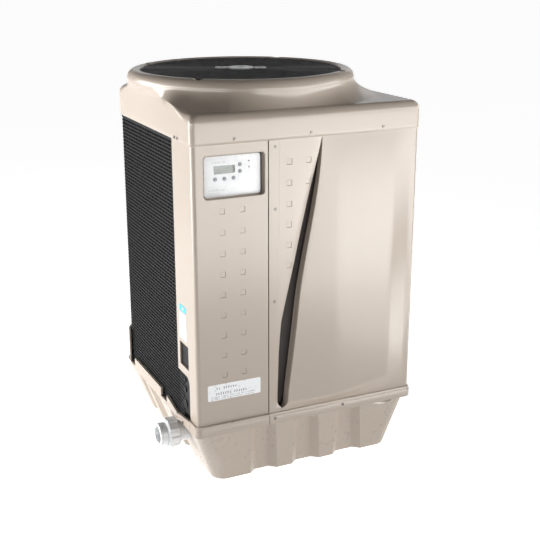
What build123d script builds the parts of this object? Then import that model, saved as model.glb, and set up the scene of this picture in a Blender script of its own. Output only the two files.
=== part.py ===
from build123d import *
import os
from math import cos, radians, sin

# A top-discharge heat pump for pools and spas.
# Every part is drawn from the cabinet's front left corner: x runs right along the
# front, y runs back, z runs up from the ground. At export it is moved to the row
# frame, whose origin is the centre of the cabinet's footprint on the ground.

# ---- driving dimensions (mm) ----
WIDTH = 800
DEPTH = 800
BAND_BOTTOM = 193
BAND_TOP = 232
SEAM = 1152
DECK = 1242
LIP_TOP = 1329
FRONT_CORNER = 14
REAR_CORNER = 118
SKIN = 5
BAND_PROUD = 8
COVER_PROUD = 3
SIDE_RETURN = 172
SPLIT_X = 253
SEAM_GAP = 1.5

FAN_X = 349
FAN_Y = 430
THROAT_R = 340
LIP_R = 387

UNION_Z = 140
OUTLET_Y = 185
INLET_Y = 500

PAN_FLOOR = 14
PAN_WALL = 8

EPS = 0.5
FAR = 3000


# ---- small helpers ----
def slab(x0, x1, y0, y1, z0, z1):
    """A box given by its two opposite corners."""
    size = Box(x1 - x0, y1 - y0, z1 - z0)
    return Pos((x0 + x1) / 2, (y0 + y1) / 2, (z0 + z1) / 2) * size


def rod(x, y, z0, z1, r):
    """An upright cylinder."""
    return Pos(x, y, (z0 + z1) / 2) * Cylinder(r, z1 - z0)


def rod_x(x0, x1, y, z, r):
    """A cylinder along x."""
    return Pos((x0 + x1) / 2, y, z) * Rot(0, 90, 0) * Cylinder(r, x1 - x0)


def rod_y(x, y0, y1, z, r):
    """A cylinder along y."""
    return Pos(x, (y0 + y1) / 2, z) * Rot(90, 0, 0) * Cylinder(r, y1 - y0)


def rounded_slab(x0, x1, y0, y1, z0, z1, r):
    """A box whose four upright edges are rounded."""
    face = RectangleRounded(x1 - x0, y1 - y0, r)
    return Pos((x0 + x1) / 2, (y0 + y1) / 2, z0) * extrude(face, z1 - z0)


def rounded_plate(x0, x1, y0, y1, z0, z1, r):
    """A plate that faces the front, with its four corners rounded."""
    face = RectangleRounded(x1 - x0, z1 - z0, r)
    solid = extrude(face, y1 - y0)
    return Pos((x0 + x1) / 2, y1, (z0 + z1) / 2) * Rot(90, 0, 0) * solid


def turned(points):
    """A solid of revolution about z from (r, z) points."""
    outline = make_face(Polyline(*[(r, 0, z) for r, z in points], close=True))
    return revolve(outline, Axis.Z)


def pipe(points, r, bend):
    """A round bar along straight runs joined by bends of one radius."""
    path = FilletPolyline(*points, radius=bend)
    section = Plane(origin=path @ 0, z_dir=path % 0) * Circle(r)
    return sweep(section, path=path)


def group(solids):
    """Separate solids that share one node."""
    return Compound([solid for shape in solids for solid in shape.solids()])


def smooth(u):
    """Eases from 0 to 1 as u goes from 0 to 1."""
    u = min(max(u, 0.0), 1.0)
    return 3 * u**2 - 2 * u**3


# ---- the cabinet's plan outline, shared by every shell ----
def plan(grow):
    """The cabinet's outline in plan, grown outwards by an amount."""
    sketch = Pos(WIDTH / 2, DEPTH / 2) * Rectangle(WIDTH + 2 * grow, DEPTH + 2 * grow)
    front = sketch.vertices().sort_by(Axis.Y)[:2]
    sketch = fillet(front, max(FRONT_CORNER + grow, 2))
    rear = sketch.vertices().sort_by(Axis.Y)[-2:]
    return fillet(rear, REAR_CORNER + grow)


def column(grow, z0, z1):
    """The filled plan outline between two heights."""
    return Pos(0, 0, z0) * extrude(plan(grow), z1 - z0)


def wall(out, inner, z0, z1):
    """The plan outline as a wall between two offsets."""
    return column(out, z0, z1) - column(inner, z0, z1)


# ---- base pan ----
GROUND_LEFT = 76
GROUND_RIGHT = 745
GROUND_FRONT = 42
GROUND_REAR = 757
TOP_INSET = 3
PAN_CORNER = 44
FLUTE_DEPTH = 20
FLUTE_SLOPE = 24
FRONT_FLUTES = (((203, 303), (192, 282)), ((361, 468), (352, 442)), ((521, 635), (515, 605)))
SIDE_FLUTES = (((245, 335), (240, 325)), ((430, 565), (435, 560)), ((605, 675), (600, 670)))
RIM_LOW = 206


def frustum(inset, z0, z1):
    """The pan's tapered body, shrunk inwards by an inset."""
    def section(z):
        t = z / BAND_BOTTOM
        left = GROUND_LEFT + (TOP_INSET - GROUND_LEFT) * t + inset
        right = GROUND_RIGHT + (WIDTH - TOP_INSET - GROUND_RIGHT) * t - inset
        front = GROUND_FRONT + (TOP_INSET - GROUND_FRONT) * t + inset
        rear = GROUND_REAR + (DEPTH - TOP_INSET - GROUND_REAR) * t - inset
        face = RectangleRounded(right - left, rear - front, PAN_CORNER - inset / 2)
        return Pos((left + right) / 2, (front + rear) / 2, z) * face

    return loft([section(z0), section(z1)])


def flute(side, low, high, grow):
    """One tapered recess in a side of the pan, cut from the ground to the band."""
    def section(z, span):
        t = z / BAND_BOTTOM
        a, b = span[0] - grow, span[1] + grow
        reach = FLUTE_DEPTH + grow
        if side in ("front", "rear"):
            face_y = GROUND_FRONT + (TOP_INSET - GROUND_FRONT) * t
            if side == "rear":
                face_y = GROUND_REAR + (DEPTH - TOP_INSET - GROUND_REAR) * t
                reach = -reach
            sign = 1 if side == "front" else -1
            mouth = face_y - sign * PAN_WALL
            corners = [(a, mouth), (b, mouth), (b, face_y), (b - FLUTE_SLOPE, face_y + reach),
                       (a + FLUTE_SLOPE, face_y + reach), (a, face_y)]
        else:
            face_x = GROUND_LEFT + (TOP_INSET - GROUND_LEFT) * t
            if side == "right":
                face_x = GROUND_RIGHT + (WIDTH - TOP_INSET - GROUND_RIGHT) * t
                reach = -reach
            sign = 1 if side == "left" else -1
            mouth = face_x - sign * PAN_WALL
            corners = [(mouth, a), (mouth, b), (face_x, b), (face_x + reach, b - FLUTE_SLOPE),
                       (face_x + reach, a + FLUTE_SLOPE), (face_x, a)]
        return make_face(Polyline(*[(x, y, z) for x, y in corners], close=True))

    return loft([section(-EPS, low), section(BAND_BOTTOM, high)], ruled=True)


def flutes(grow):
    """All the recesses round the pan."""
    cuts = []
    for low, high in FRONT_FLUTES:
        cuts.append(flute("front", low, high, grow))
        cuts.append(flute("rear", low, high, grow))
    for low, high in SIDE_FLUTES:
        cuts.append(flute("left", low, high, grow))
        cuts.append(flute("right", low, high, grow))
    return cuts


def prism_x(x0, x1, corners):
    """A prism along x from (y, z) corners."""
    face = make_face(Polyline(*[(x0, y, z) for y, z in corners], close=True))
    return extrude(face, x1 - x0, dir=(1, 0, 0))


def base_pan():
    outer = frustum(0, 0, BAND_BOTTOM)
    inner = frustum(PAN_WALL, PAN_FLOOR, BAND_BOTTOM + EPS)
    for cut in flutes(0):
        outer -= cut
    for rib in flutes(PAN_WALL):
        inner -= rib
    pan = outer - inner
    # shelf that carries the panels and the coil
    shelf = wall(BAND_PROUD, -46, BAND_BOTTOM, BAND_BOTTOM + 12)
    pan += shelf
    # band: whole height at the front left, low along the sides and rear
    band = wall(BAND_PROUD, 0, BAND_BOTTOM, BAND_TOP)
    pan += band & slab(-50, SPLIT_X - SEAM_GAP, -50, 60, 0, FAR)
    low_band = wall(BAND_PROUD, 0, BAND_BOTTOM, RIM_LOW)
    pan += low_band & slab(-50, 850, 60, 850, 0, FAR)
    # curbs on the side bands
    curbs = [
        [(60, 205), (175, 205), (175, 212), (78, 226), (60, 226)],
        [(183, 205), (282, 205), (282, 232), (183, 212)],
        [(342, 205), (640, 205), (640, 237), (342, 237)],
    ]
    for x0, x1 in ((-BAND_PROUD, 0), (WIDTH, WIDTH + BAND_PROUD)):
        for corners in curbs:
            pan += prism_x(x0, x1, corners)
    # upstands outside the two rear corners of the coil
    horn = wall(BAND_PROUD, 2, 205, 330)
    for x0, x1 in ((-50, 60), (740, 850)):
        pan += horn & slab(x0, x1, 700, 850, 0, FAR)
    # room for the access panel, which carries the rest of the band
    room = wall(BAND_PROUD + 2, -SKIN - 1, BAND_BOTTOM - 1, FAR)
    pan -= room & slab(SPLIT_X - SEAM_GAP, 900, -60, SIDE_RETURN + SEAM_GAP, 0, FAR)
    # stands for the machinery
    pan += rounded_slab(440, 660, 240, 460, PAN_FLOOR - EPS, 70, 20)
    pan += rounded_slab(165, 405, 270, 510, PAN_FLOOR - EPS, 60, 20)
    # ways through the side walls for the two water pipes
    pan -= rod_x(-50, 120, OUTLET_Y, UNION_Z, 36.5)
    pan -= rod_x(680, 850, INLET_Y, UNION_Z, 36.5)
    return pan


# ---- front and side panels ----
POCKET = (37, 241, 984, 1119)
POCKET_DEPTH = 16
DIMPLE = 17.5
DIMPLE_DEPTH = 1.4
DIMPLE_PITCH = 67.9
DIMPLE_LOW = 401.2
PLATE_CUT = (72, 150, 403.5, 484.5)
NOTCH_Y = 68
NOTCH_HIGH = 377


def dimple(x, row):
    """A shallow square recess in the front."""
    z = DIMPLE_LOW + DIMPLE_PITCH * row
    h = DIMPLE / 2
    return slab(x - h, x + h, -1, DIMPLE_DEPTH, z - h, z + h)


def control_panel():
    panel = wall(0, -SKIN, BAND_TOP, SEAM - SEAM_GAP)
    panel &= slab(-1, SPLIT_X - SEAM_GAP, -1, SIDE_RETURN, 0, FAR)
    x0, x1, z0, z1 = POCKET
    panel += rounded_plate(x0 - 4, x1 + 4, SKIN - EPS, POCKET_DEPTH + 4, z0 - 4, z1 + 4, 14)
    panel -= rounded_plate(x0, x1, -1, POCKET_DEPTH, z0, z1, 11)
    panel -= slab(66, 206, POCKET_DEPTH - 1, 40, 1030, 1097)
    for row in range(9):
        for x in (96.3, 164.1):
            panel -= dimple(x, row)
    # flange along the split
    panel += slab(SPLIT_X - 10, SPLIT_X - SEAM_GAP, SKIN - EPS, 13, BAND_TOP, SEAM - SEAM_GAP)
    # openings in the side return
    y0, y1, low, high = PLATE_CUT
    panel -= slab(-1, SKIN + 1, y0, y1, low, high)
    notch = slab(-1, SKIN + 1, NOTCH_Y, SIDE_RETURN + 1, BAND_TOP - 1, NOTCH_HIGH)
    corner = notch.edges().filter_by(Axis.X).group_by(Axis.Z)[-1].sort_by(Axis.Y)[0]
    panel -= fillet(corner, 26)
    return panel


SWOOSH_TOP = 1150
SWOOSH_BOTTOM = 266
CREASE_1 = 497
CREASE_2 = (706, 690)
SHIELD_RIGHT = 772
CREST_PROUD = 14
SHIELD_PROUD = 27
GROOVE_DEPTH = 26
CHIN_LEFT = 270
CHIN_RIGHT = 312


def crest_x(t):
    """Where the raised shield begins, t being 0 at the top and 1 at the bottom."""
    return 441 - 70 * t - 54 * smooth(t / 0.62)


def groove_x(t):
    """The left edge of the groove beside the shield."""
    return 439 - 152 * (smooth(t / 0.86) + min(t / 0.68, 1)) / 2


def swell(t):
    """How far the shield has swollen out at t."""
    return 1 - (1 - min(t, 1)) ** 2


def shield():
    """The raised, faceted field on the access panel, with its chin."""
    def section(t):
        z = SWOOSH_TOP + (SWOOSH_BOTTOM - SWOOSH_TOP) * t
        s = swell(t) + 0.01
        crease_2 = CREASE_2[0] + (CREASE_2[1] - CREASE_2[0]) * t
        lift = t**8
        corners = [(crest_x(t), 1, z), (crest_x(t), -CREST_PROUD * s, z),
                   (CREASE_1, -SHIELD_PROUD * s, z + (CHIN_LEFT - SWOOSH_BOTTOM) * lift),
                   (crease_2, -SHIELD_PROUD * s, z + (CHIN_RIGHT - SWOOSH_BOTTOM) * lift),
                   (SHIELD_RIGHT, 0, z + (CHIN_RIGHT - SWOOSH_BOTTOM) * lift),
                   (SHIELD_RIGHT, 1, z + (CHIN_RIGHT - SWOOSH_BOTTOM) * lift)]
        return corners

    steps = [0, 0.15, 0.3, 0.45, 0.6, 0.75, 0.88, 1]
    pieces = []
    for t0, t1 in zip(steps, steps[1:]):
        pieces.append(strip(section(t0), section(t1)))
    low = section(1)
    foot_z = BAND_TOP + 2
    foot = [(low[0][0] + 6, 1, foot_z), (low[0][0] + 6, 0, foot_z), (CREASE_1, 0, foot_z),
            (CREASE_2[1], 0, foot_z), (SHIELD_RIGHT, 0, foot_z), (SHIELD_RIGHT, 1, foot_z)]
    pieces.append(strip(low, foot))
    return pieces


def strip(top, bottom):
    """A solid between two rings of the same number of points, in triangles."""
    def triangle(a, b, c):
        return Face(Wire.make_polygon([a, b, c], close=True))

    count = len(top)
    faces = []
    for i in range(count):
        j = (i + 1) % count
        faces.append(triangle(top[i], top[j], bottom[j]))
        faces.append(triangle(top[i], bottom[j], bottom[i]))
    for ring in (top, bottom):
        for i in range(1, count - 1):
            faces.append(triangle(ring[0], ring[i], ring[i + 1]))
    return Solid(Shell(faces))


def groove(grow):
    """The dark channel beside the shield, as a tool that can be grown."""
    def ring(t):
        z = SWOOSH_TOP + (SWOOSH_BOTTOM - SWOOSH_TOP) * t
        width = crest_x(min(t, 1)) - groove_x(min(t, 1))
        left = groove_x(min(t, 1)) - grow
        right = crest_x(min(t, 1)) + grow
        depth = GROOVE_DEPTH * min(1, width / 40 + 0.1) + grow
        return [(left, -1, z), (right, -1, z), (right - 2, 1, z),
                (left + 0.3 * width + 3, depth, z), (left + 1, depth * 0.6, z)]

    steps = [0.04, 0.15, 0.3, 0.45, 0.6, 0.75, 0.88, 0.97]
    pieces = []
    for t0, t1 in zip(steps, steps[1:]):
        pieces.append(strip(ring(t0), ring(t1)))
    return pieces


def access_panel():
    panel = wall(0, -SKIN, BAND_BOTTOM, SEAM - SEAM_GAP)
    band = wall(BAND_PROUD, -SKIN, BAND_BOTTOM, BAND_TOP)
    panel += band
    panel &= slab(SPLIT_X + SEAM_GAP, 900, -60, SIDE_RETURN, 0, FAR)
    # flange along the split, behind the control panel's own
    panel += slab(SPLIT_X + SEAM_GAP, SPLIT_X + 8, SKIN - EPS, 13, BAND_TOP, SEAM - SEAM_GAP)
    for row in range(5, 11):
        panel -= dimple(326.1, row)
    for row in (9, 10):
        panel -= dimple(393.2, row)
    for piece in shield():
        panel += piece
    for piece in groove(4):
        panel += piece & slab(200, 500, 1, 60, 0, FAR)
    for piece in groove(0):
        panel -= piece
    for x, y, z in ACCESS_SCREWS:
        panel -= rod_y(x, y - 1, 40, z, 2.6)
    return panel


# ---- top cover ----
COLLAR_LOW = 1151
NECK_R = 404
WALL_TOP = 1250
BULGE_LOW = 1294


def cover_ring():
    """The round shroud, solid between its throat and its bulging lip."""
    outline = [(THROAT_R, COLLAR_LOW), (THROAT_R, LIP_TOP - 10), (THROAT_R + 5, LIP_TOP - 3),
               (THROAT_R + 14, LIP_TOP), (THROAT_R + 25, LIP_TOP - 2), (THROAT_R + 35, LIP_TOP - 7),
               (THROAT_R + 42, LIP_TOP - 15), (LIP_R, LIP_TOP - 26),
               (LIP_R, BULGE_LOW), (LIP_R + 2, 1280), (LIP_R + 6, 1262), (LIP_R + 11, WALL_TOP),
               (NECK_R, DECK), (NECK_R, DECK - SKIN), (THROAT_R + SKIN, DECK - SKIN - 12),
               (THROAT_R + SKIN, COLLAR_LOW)]
    ring = Pos(FAN_X, FAN_Y, 0) * turned(outline)
    # the lip overhangs the walls at the left and the rear: below it the ring draws in to them
    overhang = LIP_R + 3 - FAN_X
    corbel = loft([Pos(0, 0, WALL_TOP) * plan(COVER_PROUD), Pos(0, 0, BULGE_LOW) * plan(overhang)])
    limit = column(COVER_PROUD, 0, WALL_TOP) + corbel + column(overhang + 30, BULGE_LOW, FAR)
    return ring & limit


GUARD_SEAT = 1314
GUARD_SCREW_R = 353
GUARD_ANGLES = (-135, -45, 45, 135)
EDGE_ROUND = 29


def at_guard_screws(make):
    """One solid at each of the guard's four fixing places."""
    result = []
    for angle in GUARD_ANGLES:
        x = FAN_X + GUARD_SCREW_R * cos(radians(angle))
        y = FAN_Y + GUARD_SCREW_R * sin(radians(angle))
        result.append(make(x, y))
    return result


def top_cover():
    outer = column(COVER_PROUD, SEAM, DECK)
    outer = fillet(outer.faces().sort_by(Axis.Z)[-1].edges(), EDGE_ROUND)
    inner = column(-2, SEAM - 1, DECK - SKIN)
    inner = fillet(inner.faces().sort_by(Axis.Z)[-1].edges(), EDGE_ROUND - SKIN)
    cover = outer - inner
    # the walls run straight up to the ring where the ring leaves no room for the round edge
    upright = rod(FAN_X, FAN_Y, DECK - EDGE_ROUND - 8, WALL_TOP, NECK_R)
    cover += upright & column(COVER_PROUD, 0, FAR)
    cover += cover_ring()
    for boss in at_guard_screws(lambda x, y: rod(x, y, GUARD_SEAT - 16, GUARD_SEAT + 6, 20)):
        cover += boss
    for pocket in at_guard_screws(lambda x, y: rod(x, y, GUARD_SEAT, FAR, 16)):
        cover -= pocket
    for hole in at_guard_screws(lambda x, y: rod(x, y, GUARD_SEAT - 17, GUARD_SEAT + 1, 2.6)):
        cover -= hole
    cover -= rod(FAN_X, FAN_Y, 1100, FAR, THROAT_R)
    # lugs that stand behind the panels' top edges and take the cover's screws
    for x, _ in COVER_SCREWS:
        cover += slab(x - 50, x + 50, 8, 12, SEAM - 22, SEAM + 24)
        cover += slab(x - 50, x + 50, 1, 12, SEAM + 4, SEAM + 24)
    for x, z in COVER_SCREWS:
        cover -= rod_y(x, -10, 20, z, 2.6)
    return cover


# ---- screws ----
COVER_SCREWS = ((139, 1166), (400, 1166), (661, 1166))
ACCESS_SCREWS = ((276.5, 0, 1131), (276, 0, 933), (273.7, 0, 625),
                 (273, -BAND_PROUD, 214), (531, -BAND_PROUD, 214))
HEAD_R = 5
HEAD_H = 2.4


def screw(length):
    """A pan-head screw with a cross recess, its head above z = 0 and its shank below."""
    head = Cylinder(HEAD_R, HEAD_H, align=(Align.CENTER, Align.CENTER, Align.MIN))
    head = fillet(head.edges().sort_by(Axis.Z)[-1], 1.2)
    shank = Cylinder(2, length, align=(Align.CENTER, Align.CENTER, Align.MAX))
    solid = head + shank
    for turn in (0, 90):
        solid -= Rot(0, 0, turn) * Pos(0, 0, HEAD_H) * Box(5, 1, 2.4)
    return solid


def front_screw(x, y, z, length=10):
    return Pos(x, y, z) * Rot(90, 0, 0) * screw(length)


def left_screw(x, y, z, length=8):
    return Pos(x, y, z) * Rot(0, -90, 0) * screw(length)


def right_screw(x, y, z, length=8):
    return Pos(x, y, z) * Rot(0, 90, 0) * screw(length)


def cover_screws():
    return group([front_screw(x, -COVER_PROUD, z) for x, z in COVER_SCREWS])


def access_screws():
    return group([front_screw(x, y, z, 12) for x, y, z in ACCESS_SCREWS])


def guard_screws():
    seat = GUARD_SEAT + GUARD_TAB
    return group(at_guard_screws(lambda x, y: Pos(x, y, seat) * screw(14)))


# ---- fan guard ----
GUARD_TAB = 2.5
GUARD_TOP = 1325
RING_STEP = 15
RING_COUNT = 18
GUARD_R = 336
HUB_R = 48
HUB_THICK = 3.5


def fan_guard():
    """Flat concentric rings on radial bars, with four fixing tabs."""
    rings = rod(0, 0, GUARD_TOP - 3, GUARD_TOP, GUARD_R) - rod(0, 0, 0, FAR, GUARD_R - 4)
    for i in range(RING_COUNT):
        r = GUARD_R - RING_STEP * (i + 1)
        rings += rod(0, 0, GUARD_TOP - 3, GUARD_TOP, r) - rod(0, 0, 0, FAR, r - 2.5)
    bars = []
    for i in range(12):
        bar = slab(HUB_R - 6, GUARD_R - 1, -2, 2, GUARD_TOP - 7, GUARD_TOP - 2)
        bars.append(Rot(0, 0, 30 * i + 15) * bar)
    guard = rings + bars
    for angle in GUARD_ANGLES:
        tab = slab(GUARD_R - 8, GUARD_SCREW_R, -9, 9, GUARD_SEAT, GUARD_SEAT + GUARD_TAB)
        tab += rod(GUARD_SCREW_R, 0, GUARD_SEAT, GUARD_SEAT + GUARD_TAB, 9)
        tab += slab(GUARD_R - 8, GUARD_R - 3, -9, 9, GUARD_SEAT, GUARD_TOP - 2)
        tab -= rod(GUARD_SCREW_R, 0, 0, FAR, 2.6)
        guard += Rot(0, 0, angle) * tab
    return Pos(FAN_X, FAN_Y, 0) * guard


def guard_hub():
    """The light centre plate: a ring with a loop on each side."""
    ring = Pos(0, 0, GUARD_TOP) * extrude(RegularPolygon(HUB_R, 6), HUB_THICK)
    ring = fillet(ring.edges().filter_by(Axis.Z), 12)
    ring -= rod(0, 0, GUARD_TOP + 1.5, FAR, 30)
    for side in (-1, 1):
        loop = Pos(side * 66, 0, GUARD_TOP) * extrude(RegularPolygon(24, 6), HUB_THICK)
        loop -= Pos(side * 66, 0, 0) * extrude(RegularPolygon(17, 6), FAR)
        ring += loop
    return Pos(FAN_X, FAN_Y, 0) * Rot(0, 0, -25) * ring


# ---- fan ----
MOTOR_LOW = 1222
MOTOR_HIGH = 1304
SHAFT_R = 8
BLADE_TIP = 318
BLADE_Z = 1180
BLADE_THICK = 3
ROOT_R = 90


def fan_motor():
    body = turned([(SHAFT_R + 0.05, MOTOR_LOW), (60, MOTOR_LOW), (72, MOTOR_LOW + 12),
                   (72, MOTOR_HIGH - 14), (58, MOTOR_HIGH), (SHAFT_R + 0.05, MOTOR_HIGH)])
    for i in range(24):
        fin = slab(70, 78, -1.2, 1.2, MOTOR_LOW + 24, MOTOR_HIGH - 28)
        body += Rot(0, 0, 15 * i) * fin
    return Pos(FAN_X, FAN_Y, 0) * body


def motor_bracket():
    """A four-armed spider that hangs the motor inside the throat."""
    plate = rod(0, 0, MOTOR_HIGH, MOTOR_HIGH + 5, 62) - rod(0, 0, 0, FAR, 12)
    for i in range(4):
        arm = slab(50, 334, -14, 14, MOTOR_HIGH + 1, MOTOR_HIGH + 4)
        rib = slab(50, 334, -2, 2, MOTOR_HIGH - 10, MOTOR_HIGH + 2)
        rib -= slab(0, 76, -5, 5, 0, MOTOR_HIGH)
        foot = slab(331, 336, -20, 20, MOTOR_HIGH - 30, MOTOR_HIGH + 4)
        plate += Rot(0, 0, 90 * i) * (arm + rib + foot)
    return Pos(FAN_X, FAN_Y, 0) * plate


def motor_shaft():
    return rod(FAN_X, FAN_Y, BLADE_Z - 40, MOTOR_HIGH - 4, SHAFT_R)


def fan_hub():
    hub = turned([(SHAFT_R, BLADE_Z - 22), (30, BLADE_Z - 22), (30, BLADE_Z - 4),
                  (88, BLADE_Z - 4), (88, BLADE_Z + 2), (30, BLADE_Z + 2), (24, BLADE_Z + 18),
                  (SHAFT_R, BLADE_Z + 18)])
    return Pos(FAN_X, FAN_Y, 0) * hub


def blade():
    """One pitched, swept blade, thick enough to stand for the pressed sheet."""
    outline = [(ROOT_R, -34), (140, -70), (230, -96), (300, -92), (BLADE_TIP, -40), (BLADE_TIP, 20),
               (300, 46), (220, 46), (140, 38), (ROOT_R, 29)]
    face = make_face(Polyline(*outline, close=True))
    solid = extrude(face, BLADE_THICK)
    return Pos(0, 0, BLADE_Z + 2) * Rot(17, 0, 0) * solid


def fan_blades():
    blades = []
    for i in range(4):
        strap = slab(58, ROOT_R + 10, -12, 12, BLADE_Z + 2, BLADE_Z + 2 + BLADE_THICK)
        blades.append(Pos(FAN_X, FAN_Y, 0) * Rot(0, 0, 90 * i + 20) * (blade() + strap))
    return group(blades)


# ---- evaporator ----
COIL_LOW = 208
COIL_HIGH = 1146
COIL_OUT = -12
COIL_IN = -54
COIL_FRONT = 184
GUARD_FRONT = 175
GUARD_PITCH = 24
PANEL_GAP = 0.6


def evaporator_coil():
    """The finned pack, bent into a U round the left side, the rear and the right side."""
    fins = wall(COIL_OUT, COIL_IN, COIL_LOW, COIL_HIGH)
    return fins & slab(-1, 801, COIL_FRONT, 850, 0, FAR)


def coil_end_plates():
    """Formed plates at the coil's two front ends."""
    plates = []
    for x0, x1 in ((8, 58), (WIDTH - 58, WIDTH - 8)):
        plate = slab(x0, x1, COIL_FRONT - 2, COIL_FRONT, COIL_LOW, COIL_HIGH)
        plates.append(plate)
    return group(plates)


def return_bends():
    """Copper U-bends that stand out of the end plates."""
    bends = []
    bend_r = 12.7
    for x in (26, 42, WIDTH - 42, WIDTH - 26):
        for i in range(18):
            z = COIL_LOW + 32 + i * 50.8
            ring = Pos(x, COIL_FRONT - 2, z + bend_r) * Rot(0, 90, 0) * Torus(bend_r, 4.8)
            bends.append(ring & slab(0, 900, 100, COIL_FRONT - 2, 0, FAR))
    return group(bends)


def coil_guard():
    """Louvred panels down both sides and the rear, joined by two plain corner pieces."""
    low = BAND_TOP - 22
    top = SEAM - 2
    shell = wall(-1, -6, low, top) & slab(-1, 801, GUARD_FRONT, 850, 0, FAR)
    corner_y = DEPTH - REAR_CORNER
    right_corner = WIDTH - REAR_CORNER
    tools = []
    for i in range(int((top - low) / GUARD_PITCH)):
        z0 = low + 8 + i * GUARD_PITCH
        z1 = z0 + 16
        tools.append(slab(-20, 20, GUARD_FRONT + 12, corner_y - 6, z0, z1))
        tools.append(slab(780, 820, GUARD_FRONT + 12, corner_y - 6, z0, z1))
        tools.append(slab(REAR_CORNER + 6, right_corner - 6, 780, 820, z0, z1))
    # joints between the panels and the corner pieces
    tools.append(slab(-20, 820, corner_y - PANEL_GAP, corner_y, 0, FAR))
    for x in (REAR_CORNER, right_corner):
        tools.append(slab(x, x + PANEL_GAP, 700, 820, 0, FAR))
    shell -= tools
    uprights = []
    for i in range(1, 8):
        y = GUARD_FRONT + 6 + i * 62
        uprights.append(slab(2, 5, y - 2, y + 2, low, top))
        uprights.append(slab(795, 798, y - 2, y + 2, low, top))
    for i in range(0, 9):
        x = REAR_CORNER + 10 + i * 67
        uprights.append(slab(x - 2, x + 2, 795, 798, low, top))
    return shell + uprights


# ---- side pieces ----
def utility_plate():
    """Black plate behind the low notch and the window in the side return."""
    plate = slab(SKIN + EPS, SKIN + 3.5, 60, 173, BAND_TOP + 2, 500)
    return plate


def knockouts():
    """Blanking plugs in the utility plate for the power and control entries."""
    plugs = []
    for y, z, r in ((122, 268, 15), (122, 318, 11), (122, 352, 8)):
        plugs.append(rod_x(2.5, SKIN + EPS, y, z, r))
    return group(plugs)


def side_screws():
    screws = [left_screw(-BAND_PROUD, 121, 200)]
    for y in (112, 137):
        screws.append(left_screw(-COVER_PROUD, y, 1160))
    screws.append(right_screw(WIDTH + COVER_PROUD, 112, 1160))
    screws.append(right_screw(WIDTH + COVER_PROUD, 137, 1160))
    return group(screws)


def name_label():
    return rounded_plate(36.5, 223, -0.6, 0, 315.7, 371, 5)


def side_labels():
    labels = [slab(-0.6, 0, 85, 146, 595, 616), slab(-0.6, 0, 85, 146, 500, 590)]
    return group(labels)


# ---- controls ----
PLATE_X = (43, 232)
PLATE_Z = (988, 1115)
PLATE_FRONT = 12.5
BUTTONS = {"button_mode": (80.2, 1043.3), "button_menu": (110.8, 1043.3),
           "button_enter": (141.4, 1043.3), "button_up": (163, 1083.8), "button_down": (163, 1062.6)}
LAMPS = ((193.2, 1092.4), (193.2, 1073.4))
DISPLAY = (75.4, 146.2, 1059.5, 1084.4)
BUTTON_R = 6
TRAVEL = 1.5


def control_faceplate():
    plate = rounded_plate(*PLATE_X, PLATE_FRONT, POCKET_DEPTH, *PLATE_Z, 10)
    x0, x1, z0, z1 = DISPLAY
    plate -= slab(x0, x1, 0, 40, z0, z1)
    for x, z in BUTTONS.values():
        plate -= rod_y(x, 0, 40, z, BUTTON_R + 0.4)
    for x, z in LAMPS:
        plate -= rod_y(x, 0, 40, z, 2.6)
    return plate


def display_window():
    x0, x1, z0, z1 = DISPLAY
    return slab(x0 + 0.1, x1 - 0.1, PLATE_FRONT + 0.6, PLATE_FRONT + 2.2, z0 + 0.1, z1 - 0.1)


def display_module():
    x0, x1, z0, z1 = DISPLAY
    return slab(x0 + 1, x1 - 1, PLATE_FRONT + 2.2, PLATE_FRONT + 9, z0 + 1, z1 - 1)


def push_button(x, z):
    """A cap with a flange behind the faceplate."""
    cap = rod_y(x, PLATE_FRONT - TRAVEL - 0.3, POCKET_DEPTH + 0.6, z, BUTTON_R)
    cap = fillet(cap.edges().sort_by(Axis.Y)[0], 0.8)
    return cap + rod_y(x, POCKET_DEPTH + 0.4, POCKET_DEPTH + 2, z, BUTTON_R + 1.6)


def status_lamps():
    lamps = []
    for x, z in LAMPS:
        lamp = rod_y(x, PLATE_FRONT - 1, PLATE_FRONT + 9, z, 2.5)
        lamps.append(fillet(lamp.edges().sort_by(Axis.Y)[0], 1.5))
    return group(lamps)


def control_board():
    board = slab(68, 204, PLATE_FRONT + 9, PLATE_FRONT + 10.8, 1032, 1095)
    board += slab(100, 180, PLATE_FRONT + 10, PLATE_FRONT + 20, 1040, 1056)
    board += slab(170, 196, PLATE_FRONT + 10, PLATE_FRONT + 24, 1062, 1090)
    return board


# ---- posts and electrical box ----
BOX = (300, 520, 40, 150, 760, 1100)
POST_RIGHT = 282


def center_post():
    x0, x1 = SPLIT_X - 8, POST_RIGHT
    z0, z1 = BAND_BOTTOM + 12, SEAM - 24
    post = slab(x0, x1, 16, 18.5, z0, z1)
    post += slab(x0, x0 + 2.5, 16, 50, z0, z1)
    post += slab(x1 - 2.5, x1, 16, 50, z0, z1)
    for x, y, z in ACCESS_SCREWS[:3]:
        post -= rod_y(x, 0, 30, z, 3.2)
    return post


def right_post():
    x = WIDTH - 14
    post = slab(x - 34, x, 40, 42.5, BAND_BOTTOM + 12, SEAM - 24)
    post += slab(x - 2.5, x, 40, 74, BAND_BOTTOM + 12, SEAM - 24)
    return post


def electrical_box():
    x0, x1, y0, y1, z0, z1 = BOX
    tray = slab(x0, x1, y0, y1, z0, z1)
    tray -= slab(x0 + 2, x1 - 2, y0 - 1, y1 - 2, z0 + 2, z1 - 2)
    for x in (x0 + 40, x0 + 110, x0 + 180):
        tray -= rod(x, y0 + 40, z0 - 1, z0 + 3, 11)
    for z in (z0 + 30, z1 - 60):
        tray += slab(POST_RIGHT, x0 + 1, y0 + 4, y0 + 6.5, z, z + 30)
    return tray


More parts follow.
